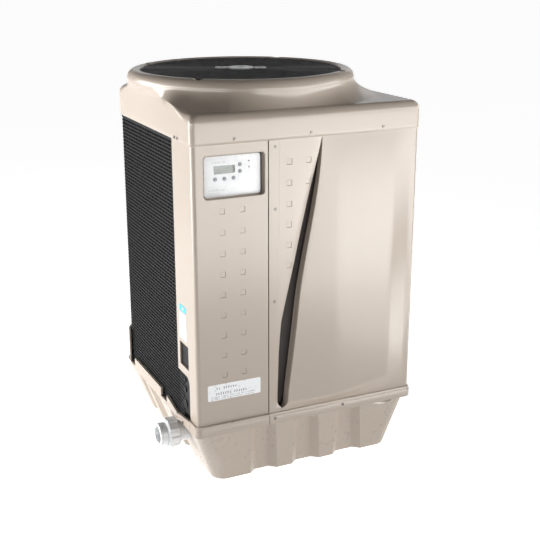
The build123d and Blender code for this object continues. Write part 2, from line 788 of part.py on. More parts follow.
def contactor():
    x0, x1, y0, y1, z0, z1 = BOX
    back = y1 - 2
    body = slab(x0 + 20, x0 + 85, back - 58, back, z1 - 110, z1 - 30)
    body += slab(x0 + 28, x0 + 77, back - 66, back - 57, z1 - 96, z1 - 44)
    for i in range(3):
        x = x0 + 34 + 18 * i
        for z in (z1 - 104, z1 - 40):
            body += rod_y(x, back - 64, back - 57, z + 2, 4)
    return body


def run_capacitor():
    x0, x1, y0, y1, z0, z1 = BOX
    can = rod(x0 + 120, y1 - 32, z1 - 150, z1 - 30, 26)
    for dx in (-10, 10):
        can += slab(x0 + 120 + dx - 3, x0 + 120 + dx + 3, y1 - 32.5, y1 - 31.5, z1 - 31, z1 - 20)
    return can


def transformer():
    x0, x1, y0, y1, z0, z1 = BOX
    core = slab(x0 + 158, x0 + 208, y1 - 46, y1 - 2, z1 - 120, z1 - 62)
    coil = rounded_slab(x0 + 166, x0 + 200, y1 - 56, y1 - 45, z1 - 108, z1 - 74, 4)
    return core + coil


def terminal_block():
    x0, x1, y0, y1, z0, z1 = BOX
    block = slab(x0 + 20, x0 + 120, y1 - 32, y1 - 2, z0 + 26, z0 + 66)
    for i in range(4):
        x = x0 + 32 + 25.3 * i
        block -= slab(x - 8, x + 8, y1 - 33, y1 - 22, z0 + 30, z0 + 62)
        block += rod_y(x, y1 - 25, y1 - 21, z0 + 46, 5)
    return block


def relay_board():
    x0, x1, y0, y1, z0, z1 = BOX
    board = slab(x0 + 20, x0 + 200, y1 - 10, y1 - 8, z0 + 90, z0 + 176)
    board += slab(x0 + 30, x0 + 50, y1 - 26, y1 - 9, z0 + 100, z0 + 126)
    board += slab(x0 + 60, x0 + 80, y1 - 26, y1 - 9, z0 + 100, z0 + 126)
    board += slab(x0 + 100, x0 + 150, y1 - 20, y1 - 9, z0 + 150, z0 + 166)
    for x in (x0 + 26, x0 + 194):
        for z in (z0 + 96, z0 + 170):
            board += rod_y(x, y1 - 9, y1 - 2, z, 3)
    return board


# ---- refrigerant circuit ----
COMP_X = 550
COMP_Y = 350
COMP_R = 92
COMP_LOW = 92
COMP_HIGH = 500


def compressor():
    shell = turned([(0, COMP_LOW + 12), (60, COMP_LOW + 14), (COMP_R, COMP_LOW + 40),
                    (COMP_R, COMP_HIGH - 48), (84, COMP_HIGH - 22), (56, COMP_HIGH - 4),
                    (0, COMP_HIGH)])
    body = Pos(COMP_X, COMP_Y, 0) * shell
    body += rod(COMP_X, COMP_Y, COMP_LOW + 150, COMP_LOW + 156, COMP_R + 2.5)
    foot = slab(COMP_X - 98, COMP_X + 98, COMP_Y - 98, COMP_Y + 98, COMP_LOW, COMP_LOW + 6)
    foot = fillet(foot.edges().filter_by(Axis.Z), 22)
    body += foot + rod(COMP_X, COMP_Y, COMP_LOW, COMP_LOW + 30, 62)
    for x, y in FEET:
        body -= rod(x, y, COMP_LOW - 1, COMP_LOW + 7, 7)
    body += slab(COMP_X - 30, COMP_X + 30, COMP_Y - COMP_R - 16, COMP_Y - 70, 330, 400)
    return body


FEET = [(COMP_X + dx, COMP_Y + dy) for dx in (-82, 82) for dy in (-82, 82)]


def compressor_feet():
    feet = []
    for x, y in FEET:
        foot = rod(x, y, 70, COMP_LOW, 16) + rod(x, y, COMP_LOW, COMP_LOW + 9, 7)
        feet.append(foot)
    return group(feet)


ACC_X = 690
ACC_Y = 300


def accumulator():
    shell = turned([(0, 226), (26, 228), (44, 246), (48, 262), (48, 452), (44, 468), (26, 486), (0, 488)])
    return Pos(ACC_X, ACC_Y, 0) * shell


def reversing_valve():
    body = rod_x(500, 610, 240, 640, 17) + rod(555, 240, 640, 672, 10)
    body += rod_x(486, 500, 240, 640, 12) + rod_x(610, 624, 240, 640, 12)
    for x in (528, 555, 582):
        body += rod(x, 240, 606, 640, 8)
    body += slab(540, 570, 204, 224, 626, 654)
    return body


def expansion_valve():
    body = rod(360, 250, 560, 600, 15) + rod(360, 250, 600, 612, 24)
    body += rod_x(345, 398, 250, 583, 8)
    return body


def filter_drier():
    shell = turned([(0, 402), (10, 402), (10, 414), (28, 430), (30, 440), (30, 530), (28, 540),
                    (10, 556), (0, 556)])
    return Pos(440, 262, 0) * shell


LINE_R = 8
BEND = 22


def suction_line():
    points = [(ACC_X, ACC_Y, 488), (ACC_X, ACC_Y, 560), (582, 240, 560), (582, 240, 606)]
    return pipe(points, LINE_R, BEND)


def compressor_inlet():
    points = [(ACC_X, ACC_Y - 30, 486), (ACC_X, ACC_Y - 30, 530), (COMP_X + 125, COMP_Y - 20, 530)]
    points += [(COMP_X + 125, COMP_Y - 20, 470), (COMP_X + 60, COMP_Y - 20, 440)]
    return pipe(points, LINE_R, 18)


def discharge_line():
    points = [(COMP_X, COMP_Y, COMP_HIGH - 3), (COMP_X, COMP_Y, 570), (528, 240, 570)]
    points += [(528, 240, 606)]
    return pipe(points, LINE_R, BEND)


def coil_line():
    points = [(555, 240, 606), (555, 240, 532), (620, 150, 532), (766, 150, 532), (766, 182, 532)]
    return pipe(points, 6, 14)


def liquid_line():
    points = [(440, 262, 402), (440, 262, 350), (330, 330, 350)]
    return pipe(points, 6, BEND)


def valve_line():
    points = [(440, 262, 556), (440, 262, 583), (398, 250, 583)]
    return pipe(points, 6, 9)


def distributor_line():
    points = [(345, 250, 583), (300, 250, 583), (230, 150, 583), (34, 150, 583), (34, 182, 583)]
    return pipe(points, 6, 16)


def service_ports():
    """Two gauge ports with caps, on the low and the high side."""
    ports = []
    for x, y, z in ((ACC_X, ACC_Y - 48, 420), (COMP_X + 30, COMP_Y - 84, 250)):
        ports.append(rod_y(x, y - 26, y + 2, z, 4) + rod_y(x, y - 40, y - 26, z, 8))
    return group(ports)


# ---- water circuit ----
HX_X = 285
HX_Y = 390
HX_R = 112
PIPE_R = 30
BORE_R = 25


def heat_exchanger():
    shell = rod(HX_X, HX_Y, 96, 520, HX_R)
    for i in range(6):
        shell += rod(HX_X, HX_Y, 140 + 62 * i, 152 + 62 * i, HX_R + 3)
    shell -= water_outlet_pipe()
    shell -= water_inlet_pipe()
    return shell


def exchanger_caps():
    """Domed caps clamped on the exchanger's two ends."""
    low = turned([(0, 60), (HX_R - 14, 60), (HX_R + 8, 76), (HX_R + 8, 96), (0, 96)])
    high = turned([(0, 520), (HX_R + 8, 520), (HX_R + 8, 540), (HX_R - 20, 566), (0, 576)])
    return group([Pos(HX_X, HX_Y, 0) * low, Pos(HX_X, HX_Y, 0) * high])


def water_outlet_pipe():
    """From the exchanger's lower side to the outlet union."""
    points = [(60, OUTLET_Y, UNION_Z), (HX_X - 60, OUTLET_Y, UNION_Z), (HX_X - 60, HX_Y - 86, UNION_Z)]
    return pipe(points, PIPE_R, 55)


def water_inlet_pipe():
    """From the inlet union over to the exchanger's rear."""
    elbow_x = HX_X + 55
    points = [(740, INLET_Y, UNION_Z), (elbow_x, INLET_Y, UNION_Z), (elbow_x, HX_Y + 52, UNION_Z)]
    return pipe(points, PIPE_R, 50)


def pressure_switch():
    """Proves water flow on the inlet pipe."""
    body = rod(600, INLET_Y, UNION_Z + PIPE_R - 1, UNION_Z + 50, 9)
    return body + rod(600, INLET_Y, UNION_Z + 50, UNION_Z + 84, 20)


# ---- unions: drawn outwards along +x from the wall, then placed ----
SOCKET_BORE_R = 30.2
SOCKET_LENGTH = 38
UNION_END = 77


def along_x(points):
    """A solid of revolution about the x axis from (x, r) points."""
    outline = make_face(Polyline(*[(x, r, 0) for x, r in points], close=True))
    return revolve(outline, Axis.X)


def tailpiece():
    return along_x([(-60, BORE_R), (-60, 36), (8, 36), (8, 42), (28, 42), (28, 34), (30, 34), (30, BORE_R)])


def union_ring():
    return along_x([(28, 34.2), (28, 38.5), (31, 38.5), (31, 34.2)])


def union_socket():
    stop = UNION_END - SOCKET_LENGTH
    body = [(31, BORE_R), (31, 44), (38, 44), (38, 39.3), (UNION_END - 8, 39.3), (UNION_END - 7, 41)]
    body += [(UNION_END, 41), (UNION_END, SOCKET_BORE_R), (stop, SOCKET_BORE_R), (stop, BORE_R)]
    return along_x(body)


def union_nut():
    nut = along_x([(9, 42.4), (9, 47), (14, 49.5), (44, 49.5), (50, 45), (50, 39.8), (38.5, 39.8),
                   (38.5, 44.4), (29, 44.4), (29, 42.4)])
    for i in range(10):
        rib = slab(12, 46, 47, 52, -5, 5)
        rib = fillet(rib.edges().filter_by(Axis.X).sort_by(Axis.Y)[-2:], 2.5)
        nut += Rot(36 * i, 0, 0) * rib
    return nut


def at_outlet(shape):
    return Pos(0, OUTLET_Y, UNION_Z) * Rot(0, 0, 180) * shape


def at_inlet(shape):
    return Pos(WIDTH, INLET_Y, UNION_Z) * shape


# ---- export ----
def save(name, shape):
    """Moves a part to the row frame and writes it."""
    placed = Pos(-WIDTH / 2, -DEPTH / 2, 0) * shape
    export_step(placed, "parts/" + name + ".step")


def build_all():
    parts = {
        "base_pan": base_pan, "control_panel": control_panel, "access_panel": access_panel,
        "top_cover": top_cover, "coil_guard": coil_guard, "fan_guard": fan_guard,
        "guard_hub": guard_hub, "guard_screws": guard_screws, "cover_screws": cover_screws,
        "access_screws": access_screws, "side_screws": side_screws, "fan_motor": fan_motor,
        "motor_bracket": motor_bracket, "motor_shaft": motor_shaft, "fan_hub": fan_hub,
        "fan_blades": fan_blades, "evaporator_coil": evaporator_coil,
        "coil_end_plates": coil_end_plates, "return_bends": return_bends,
        "utility_plate": utility_plate, "knockouts": knockouts, "name_label": name_label,
        "side_labels": side_labels, "control_faceplate": control_faceplate,
        "display_window": display_window, "display_module": display_module,
        "status_lamps": status_lamps, "center_post": center_post, "right_post": right_post, "electrical_box": electrical_box,
        "contactor": contactor, "run_capacitor": run_capacitor, "transformer": transformer,
        "terminal_block": terminal_block, "compressor": compressor,
        "compressor_feet": compressor_feet, "accumulator": accumulator,
        "reversing_valve": reversing_valve, "expansion_valve": expansion_valve,
        "filter_drier": filter_drier, "service_ports": service_ports,
        "heat_exchanger": heat_exchanger, "exchanger_caps": exchanger_caps,
        "water_outlet_pipe": water_outlet_pipe, "water_inlet_pipe": water_inlet_pipe,
        "pressure_switch": pressure_switch,
    }
    for name, make in parts.items():
        save(name, make())
    lines = [suction_line, compressor_inlet, discharge_line, coil_line, liquid_line, valve_line,
             distributor_line]
    save("copper_lines", group([line() for line in lines]))
    save("circuit_boards", group([control_board(), relay_board()]))
    for name, (x, z) in BUTTONS.items():
        save(name, push_button(x, z))
    for name, place in (("outlet", at_outlet), ("inlet", at_inlet)):
        save(name + "_tailpiece", place(tailpiece()))
        save(name + "_socket", place(union_socket()))
        save(name + "_nut", place(union_nut()))
    save("union_rings", group([at_outlet(union_ring()), at_inlet(union_ring())]))


os.makedirs("parts", exist_ok=True)
build_all()
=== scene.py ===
from math import cos, hypot, pi, radians, sin

import bmesh
import bpy
import numpy as np
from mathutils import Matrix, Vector
from mathutils.geometry import tessellate_polygon

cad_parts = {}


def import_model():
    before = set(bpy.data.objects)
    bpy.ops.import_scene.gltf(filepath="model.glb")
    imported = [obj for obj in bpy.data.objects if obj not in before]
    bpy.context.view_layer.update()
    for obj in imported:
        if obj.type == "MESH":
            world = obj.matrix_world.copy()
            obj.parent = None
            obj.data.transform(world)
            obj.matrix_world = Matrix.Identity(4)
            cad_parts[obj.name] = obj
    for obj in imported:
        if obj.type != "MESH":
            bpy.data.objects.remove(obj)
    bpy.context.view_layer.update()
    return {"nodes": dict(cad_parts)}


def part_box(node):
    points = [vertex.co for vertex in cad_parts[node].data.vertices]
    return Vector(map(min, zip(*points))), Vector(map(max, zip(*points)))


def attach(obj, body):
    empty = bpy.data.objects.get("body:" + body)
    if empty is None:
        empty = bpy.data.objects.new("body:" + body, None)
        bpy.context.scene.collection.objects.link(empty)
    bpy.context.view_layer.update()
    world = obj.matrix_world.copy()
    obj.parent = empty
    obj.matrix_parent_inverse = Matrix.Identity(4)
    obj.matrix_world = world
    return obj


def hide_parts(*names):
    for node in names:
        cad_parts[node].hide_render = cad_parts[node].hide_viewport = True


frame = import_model()

# Every size below is in millimetres. Places are measured like the CAD: x runs right
# from the cabinet's left side, y runs back from its front, z runs up from the ground.
MM = 0.001
ORIGIN = np.array([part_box("control_panel")[0].x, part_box("control_panel")[0].y, 0.0])


def low(node):
    """The lowest corner of a CAD node, in millimetres from the cabinet's corner."""
    return (np.array(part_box(node)[0]) - ORIGIN) / MM


def high(node):
    """The highest corner of a CAD node, in millimetres from the cabinet's corner."""
    return (np.array(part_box(node)[1]) - ORIGIN) / MM


def centre(node):
    return (low(node) + high(node)) / 2


WIDTH = -2 * ORIGIN[0] / MM
DEPTH = -2 * ORIGIN[1] / MM
BAND_TOP = low("control_panel")[2]
SEAM = low("cover_screws")[2] - 9
PANEL_TOP = SEAM - 0.5
LIP_TOP = high("top_cover")[2]
DECK = SEAM + 90
SPLIT_X = high("control_panel")[0] + 1.5
SIDE_RETURN = high("control_panel")[1]
FAN_X, FAN_Y = centre("fan_hub")[:2]
FRONT_CORNER = 14
REAR_CORNER = 118
COVER_PROUD = 3
BAND_PROUD = 8
BAND_LOW = low("access_panel")[2]


# ---------------------------------------------------------------- mesh helpers
def grid(points, close_u=False, close_v=False, flip=False):
    """Quads over rows of points: points[i][j] is the j-th point of row i."""
    points = np.asarray(points, float)
    nu, nv = points.shape[:2]
    rows = np.arange(nu if close_u else nu - 1)
    cols = np.arange(nv if close_v else nv - 1)
    i, j = np.meshgrid(rows, cols, indexing="ij")
    a = i * nv + j
    b = (i + 1) % nu * nv + j
    c = (i + 1) % nu * nv + (j + 1) % nv
    d = i * nv + (j + 1) % nv
    quads = np.stack([a, b, c, d], -1).reshape(-1, 4)
    if flip:
        quads = quads[:, ::-1]
    return points.reshape(-1, 3), [list(q) for q in quads.tolist()]


def block(x0, x1, y0, y1, z0, z1):
    """A closed box."""
    points = [(x, y, z) for z in (z0, z1) for y in (y0, y1) for x in (x0, x1)]
    faces = [[0, 2, 3, 1], [4, 5, 7, 6], [0, 1, 5, 4], [2, 6, 7, 3], [0, 4, 6, 2], [1, 3, 7, 5]]
    return np.array(points, float), faces


def tube(path, radius, sides=8, close=False):
    """A round bar along a path; radius is one number or one per point."""
    path = np.asarray(path, float)
    radii = np.broadcast_to(np.asarray(radius, float), len(path))
    ahead = np.roll(path, -1, 0) - np.roll(path, 1, 0)
    if not close:
        ahead[0] = path[1] - path[0]
        ahead[-1] = path[-1] - path[-2]
    ahead /= np.linalg.norm(ahead, axis=1)[:, None]
    up = np.array([0.0, 0.0, 1.0])
    if np.abs(ahead[:, 2]).max() > 0.9:
        up = np.array([1.0, 0.0, 0.0])
    side = np.cross(ahead, up)
    side /= np.linalg.norm(side, axis=1)[:, None]
    lift = np.cross(side, ahead)
    turn = np.arange(sides) * 2 * pi / sides
    rows = path[:, None] + radii[:, None, None] * (
        side[:, None] * np.cos(turn)[None, :, None] + lift[:, None] * np.sin(turn)[None, :, None])
    points, faces = grid(rows, close_u=close, close_v=True)
    if not close:
        last = len(points) - sides
        faces.append(list(range(sides)))
        faces.append(list(range(last, last + sides))[::-1])
    return points, faces


def ring(x, y, r, z0, z1, width, steps=160):
    """A flat ring about an upright axis, with softened edges."""
    soft = min(width, z1 - z0) * 0.25
    inner = r - width
    section = [(inner, z0), (r, z0), (r, z1 - soft), (r - soft, z1), (inner + soft, z1), (inner, z1 - soft)]
    turn = np.arange(steps) * 2 * pi / steps
    rows = [[(x + a * cos(t), y + a * sin(t), z) for a, z in section] for t in turn]
    return grid(rows, close_u=True, close_v=True, flip=True)


def arc(x, y, r, start, stop, count):
    """Points round an arc, its angles in degrees."""
    turns = [radians(start + (stop - start) * k / count) for k in range(count + 1)]
    return [(x + r * cos(a), y + r * sin(a)) for a in turns]


def joined(parts):
    """One part out of many."""
    points = []
    faces = []
    start = 0
    for part in parts:
        points.append(part[0])
        faces += [[v + start for v in face] for face in part[1]]
        start += len(part[0])
    return np.concatenate(points), faces


def make_piece(name, parts, body, replaces=(), sharp=35, weld=0.01):
    """Builds one object from (part, material) pairs and ties it to the frame."""
    mesh = bpy.data.meshes.new(name)
    points = []
    faces = []
    index = []
    start = 0
    for number, (part, _) in enumerate(parts):
        points.append(np.asarray(part[0], float))
        faces += [[v + start for v in face] for face in part[1]]
        index += [number] * len(part[1])
        start += len(part[0])
    mesh.from_pydata((np.concatenate(points) * MM + ORIGIN).tolist(), [], faces)
    for _, material in parts:
        mesh.materials.append(material)
    mesh.polygons.foreach_set("material_index", index)
    obj = bpy.data.objects.new(name, mesh)
    bpy.context.scene.collection.objects.link(obj)
    clean(mesh, weld * MM)
    mesh.polygons.foreach_set("use_smooth", [True] * len(mesh.polygons))
    mesh.set_sharp_from_angle(angle=radians(sharp))
    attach(obj, body)
    if replaces:
        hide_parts(*replaces)
    return obj


def clean(mesh, distance):
    """Welds equal points and drops the faces and edges that this leaves empty."""
    work = bmesh.new()
    work.from_mesh(mesh)
    bmesh.ops.remove_doubles(work, verts=work.verts, dist=distance)
    bmesh.ops.dissolve_degenerate(work, dist=distance / 2, edges=work.edges)
    loose = [v for v in work.verts if not v.link_faces]
    bmesh.ops.delete(work, geom=loose, context="VERTS")
    work.to_mesh(mesh)
    work.free()
    mesh.update()


def smooth(u):
    """Eases from 0 to 1 as u goes from 0 to 1; takes arrays."""
    u = np.clip(u, 0.0, 1.0)
    return u * u * (3 - 2 * u)


def outline(grow, step=12.0):
    """The cabinet's plan outline, grown outwards: points anticlockwise from the front left."""
    x0, x1 = -grow, WIDTH + grow
    y0, y1 = -grow, DEPTH + grow
    front = FRONT_CORNER + grow
    rear = REAR_CORNER + grow
    corners = [(x1 - front, y0 + front, front, -90), (x1 - rear, y1 - rear, rear, 0),
               (x0 + rear, y1 - rear, rear, 90), (x0 + front, y0 + front, front, 180)]
    points = []
    for cx, cy, r, start in corners:
        count = max(8, int(r * pi / 2 / 7))
        corner = arc(cx, cy, r, start, start + 90, count)
        if points:
            points += between(points[-1], corner[0], step)
        points += corner
    points += between(points[-1], points[0], step)
    return np.array(points)


def between(a, b, step):
    """Evenly spaced points strictly between two points."""
    count = int(hypot(b[0] - a[0], b[1] - a[1]) / step)
    return [(a[0] + (b[0] - a[0]) * k / count, a[1] + (b[1] - a[1]) * k / count) for k in range(1, count)]


# ---------------------------------------------------------------- materials
def noise(tree, place, scale, detail):
    """Soft noise over the object's own coordinates."""
    node = tree.nodes.new("ShaderNodeTexNoise")
    node.inputs["Scale"].default_value = scale
    node.inputs["Detail"].default_value = detail
    tree.links.new(place.outputs["Object"], node.inputs["Vector"])
    return node.outputs["Fac"]


def node_material(name, color, rough, metallic=0.0, coat=0.0, coat_rough=0.1, specular=0.5,
                  mottle=0.04, grain=0.0, grain_size=900.0, rough_spread=0.08, wear=0.0, ior=1.5):
    """A surface with mottled colour, uneven roughness, a fine grain and dust or wear."""
    material = bpy.data.materials.new(name)
    material.use_nodes = True
    tree = material.node_tree
    shader = tree.nodes["Principled BSDF"]
    shader.inputs["Metallic"].default_value = metallic
    shader.inputs["IOR"].default_value = ior
    shader.inputs["Specular IOR Level"].default_value = specular
    shader.inputs["Coat Weight"].default_value = coat
    shader.inputs["Coat Roughness"].default_value = coat_rough
    place = tree.nodes.new("ShaderNodeTexCoord")
    tint = tree.nodes.new("ShaderNodeMix")
    tint.data_type = "RGBA"
    tint.inputs["A"].default_value = tuple(c * (1 - mottle) for c in color) + (1,)
    tint.inputs["B"].default_value = tuple(min(1, c * (1 + mottle)) for c in color) + (1,)
    tree.links.new(noise(tree, place, 7.0, 4.0), tint.inputs["Factor"])
    last_color = tint.outputs["Result"]
    spread = tree.nodes.new("ShaderNodeMapRange")
    spread.inputs["From Min"].default_value = 0.3
    spread.inputs["From Max"].default_value = 0.7
    spread.inputs["To Min"].default_value = max(0.02, rough - rough_spread)
    spread.inputs["To Max"].default_value = min(1.0, rough + rough_spread)
    tree.links.new(noise(tree, place, 55.0, 6.0), spread.inputs["Value"])
    tree.links.new(spread.outputs["Result"], shader.inputs["Roughness"])
    if wear:
        edge = tree.nodes.new("ShaderNodeNewGeometry")
        pick = tree.nodes.new("ShaderNodeMapRange")
        pick.inputs["From Min"].default_value = 0.52
        pick.inputs["From Max"].default_value = 0.62
        tree.links.new(edge.outputs["Pointiness"], pick.inputs["Value"])
        strength = tree.nodes.new("ShaderNodeMath")
        strength.operation = "MULTIPLY"
        strength.inputs[1].default_value = wear
        tree.links.new(pick.outputs["Result"], strength.inputs[0])
        worn = tree.nodes.new("ShaderNodeMix")
        worn.data_type = "RGBA"
        worn.inputs["B"].default_value = tuple(min(1, c * 1.5 + 0.05) for c in color) + (1,)
        tree.links.new(strength.outputs["Value"], worn.inputs["Factor"])
        tree.links.new(last_color, worn.inputs["A"])
        last_color = worn.outputs["Result"]
    tree.links.new(last_color, shader.inputs["Base Color"])
    if grain:
        bump = tree.nodes.new("ShaderNodeBump")
        bump.inputs["Strength"].default_value = grain
        bump.inputs["Distance"].default_value = 0.0004
        tree.links.new(noise(tree, place, grain_size, 3.0), bump.inputs["Height"])
        tree.links.new(bump.outputs["Normal"], shader.inputs["Normal"])
    return material


CASING = (0.43, 0.365, 0.305)
casing = node_material("casing", CASING, 0.24, mottle=0.02, grain=0.10, rough_spread=0.03)
casing_low = node_material("casing_low", CASING, 0.30, mottle=0.025, grain=0.14, rough_spread=0.04)
guard_black = node_material("guard_black", (0.0035, 0.0035, 0.004), 0.42, specular=0.09,
                            mottle=0.3, grain=0.15, wear=0.1)
guard_wire = node_material("guard_wire", (0.002, 0.002, 0.0022), 0.33, specular=0.07, mottle=0.3, grain=0.12)
# near-black colour of the sheet behind the coil guard: painted shade of the cabinet's inside, laid over the
# dark coil
painted_void_shade = node_material("painted_void_shade", (0.002, 0.002, 0.002), 0.7, specular=0.05, mottle=0.3, grain=0.2)
plate_black = node_material("plate_black", (0.006, 0.006, 0.007), 0.42, specular=0.12,
                            mottle=0.25, grain=0.25)
hub_white = node_material("hub_white", (0.66, 0.67, 0.68), 0.28, mottle=0.05, grain=0.08)
screw_steel = node_material("screw_steel", (0.15, 0.14, 0.13), 0.40, metallic=1.0, mottle=0.15, grain=0.2)
motor_black = node_material("motor_black", (0.03, 0.03, 0.034), 0.45, mottle=0.2, grain=0.3, wear=0.3)
shaft_steel = node_material("shaft_steel", (0.62, 0.61, 0.60), 0.22, metallic=1.0, mottle=0.08, grain=0.15)
blade_grey = node_material("blade_grey", (0.07, 0.07, 0.075), 0.38, metallic=0.4,
                           mottle=0.2, grain=0.2, wear=0.4)
fin_dark = node_material("fin_dark", (0.03, 0.031, 0.034), 0.5, metallic=0.6, mottle=0.3, grain=0.4)
zinc = node_material("zinc", (0.55, 0.57, 0.58), 0.38, metallic=0.9, mottle=0.14, grain=0.25)
copper = node_material("copper", (0.72, 0.36, 0.22), 0.30, metallic=1.0, mottle=0.2, grain=0.2)
label_silver = node_material("label_silver", (0.72, 0.73, 0.74), 0.32, metallic=0.15, mottle=0.03, grain=0.1)
label_blue = node_material("label_blue", (0.03, 0.42, 0.66), 0.34, mottle=0.04, grain=0.1)
label_pale = node_material("label_pale", (0.74, 0.83, 0.86), 0.34, mottle=0.03, grain=0.1)
label_aqua = node_material("label_aqua", (0.42, 0.74, 0.80), 0.34, mottle=0.03, grain=0.1)
print_ink = node_material("print_ink", (0.018, 0.018, 0.02), 0.4, mottle=0.2, grain=0.1)
print_grey = node_material("print_grey", (0.22, 0.22, 0.23), 0.4, mottle=0.15, grain=0.1)
faceplate = node_material("faceplate", (0.66, 0.665, 0.67), 0.30, mottle=0.02, grain=0.08)
# the channel floor's colour: the casing's beige darkened, painted shade deep in the groove
groove_shade_paint = node_material("groove_shade_paint", (0.055, 0.046, 0.042), 0.6, specular=0.2, mottle=0.1, grain=0.12)
display_lens = node_material("display_lens", (0.30, 0.34, 0.30), 0.12, mottle=0.05, grain=0.02,
                             coat=0.6, coat_rough=0.05)
display_dark = node_material("display_dark", (0.045, 0.055, 0.045), 0.3, mottle=0.1, grain=0.05)
display_glow = node_material("display_glow", (0.36, 0.37, 0.35), 0.3, mottle=0.04, grain=0.03)
print_pale = node_material("print_pale", (0.52, 0.53, 0.55), 0.4, mottle=0.05, grain=0.05)
button_grey = node_material("button_grey", (0.17, 0.18, 0.20), 0.38, mottle=0.08, grain=0.15, wear=0.2)
lamp_lens = node_material("lamp_lens", (0.10, 0.13, 0.10), 0.15, mottle=0.1, grain=0.03)
board_green = node_material("board_green", (0.03, 0.16, 0.07), 0.4, mottle=0.2, grain=0.3)
electric_black = node_material("electric_black", (0.025, 0.025, 0.027), 0.45, mottle=0.2, grain=0.2)
can_metal = node_material("can_metal", (0.72, 0.72, 0.72), 0.28, metallic=1.0, mottle=0.08, grain=0.1)
enamel_black = node_material("enamel_black", (0.02, 0.02, 0.022), 0.30, mottle=0.2, grain=0.3, wear=0.3)
rubber = node_material("rubber", (0.018, 0.018, 0.018), 0.75, mottle=0.2, grain=0.5)
exchanger_grey = node_material("exchanger_grey", (0.10, 0.105, 0.11), 0.5, mottle=0.15, grain=0.3)
pvc = node_material("pvc", (0.80, 0.81, 0.82), 0.27, mottle=0.03, grain=0.06, rough_spread=0.05)

display_lens.node_tree.nodes["Principled BSDF"].inputs["Alpha"].default_value = 0.22
NODE_LOOKS = {
    casing: ("control_panel", "access_panel", "top_cover"),
    casing_low: ("base_pan",),
    guard_black: ("coil_guard",),
    plate_black: ("utility_plate", "knockouts"),
    guard_wire: ("fan_guard", "motor_bracket"),
    hub_white: ("guard_hub",),
    screw_steel: ("guard_screws", "cover_screws", "access_screws", "side_screws"),
    motor_black: ("fan_motor",),
    shaft_steel: ("motor_shaft",),
    blade_grey: ("fan_blades", "fan_hub"),
    fin_dark: ("evaporator_coil",),
    zinc: ("coil_end_plates", "center_post", "right_post", "electrical_box"),
    copper: ("return_bends", "copper_lines", "filter_drier", "service_ports",
             "expansion_valve", "reversing_valve"),
    label_silver: ("name_label",),
    label_pale: ("side_labels",),
    faceplate: ("control_faceplate",),
    display_lens: ("display_window",),
    display_dark: ("display_module",),
    button_grey: ("button_mode", "button_menu", "button_enter", "button_up", "button_down"),
    lamp_lens: ("status_lamps",),
    board_green: ("circuit_boards",),
    electric_black: ("contactor", "terminal_block", "transformer"),
    can_metal: ("run_capacitor",),
    enamel_black: ("compressor", "accumulator"),
    rubber: ("compressor_feet", "union_rings"),
    exchanger_grey: ("heat_exchanger", "exchanger_caps", "pressure_switch"),
    pvc: ("outlet_tailpiece", "outlet_socket", "outlet_nut", "inlet_tailpiece", "inlet_socket", "inlet_nut",
          "water_inlet_pipe", "water_outlet_pipe"),
}
for material, names in NODE_LOOKS.items():
    for name in names:
        node = frame["nodes"][name]
        node.data.materials.clear()
        node.data.materials.append(material)


# ---------------------------------------------------------------- top cover
THROAT_R = 340
LIP_R = 387
BULGE_LOW = LIP_TOP - 33
EDGE_ROUND = 29
NECK_REACH = 75
SCREW_RADIUS = 353
SCREW_SINK = 17.5
SCREW_FLOOR = LIP_TOP - 19


def bezier(a, b, c, count):
    """Points on a quadratic curve, without its first point."""
    t = np.linspace(0, 1, count + 1)[1:, None]
    a, b, c = (np.array(p, float) for p in (a, b, c))
    return (1 - t) ** 2 * a + 2 * t * (1 - t) * b + t ** 2 * c


def spline(points, count):
    """A smooth curve through points, count steps between each two."""
    p = np.array(points, float)
    p = np.concatenate([2 * p[:1] - p[1:2], p, 2 * p[-1:] - p[-2:-1]])
    out = [p[1]]
    for k in range(1, len(p) - 2):
        for s in range(1, count + 1):
            t = s / count
            out.append(0.5 * (2 * p[k] + (p[k + 1] - p[k - 1]) * t
                              + (2 * p[k - 1] - 5 * p[k] + 4 * p[k + 1] - p[k + 2]) * t ** 2
                              + (3 * p[k] - p[k - 1] - 3 * p[k + 1] + p[k + 2]) * t ** 3))
    return np.array(out)


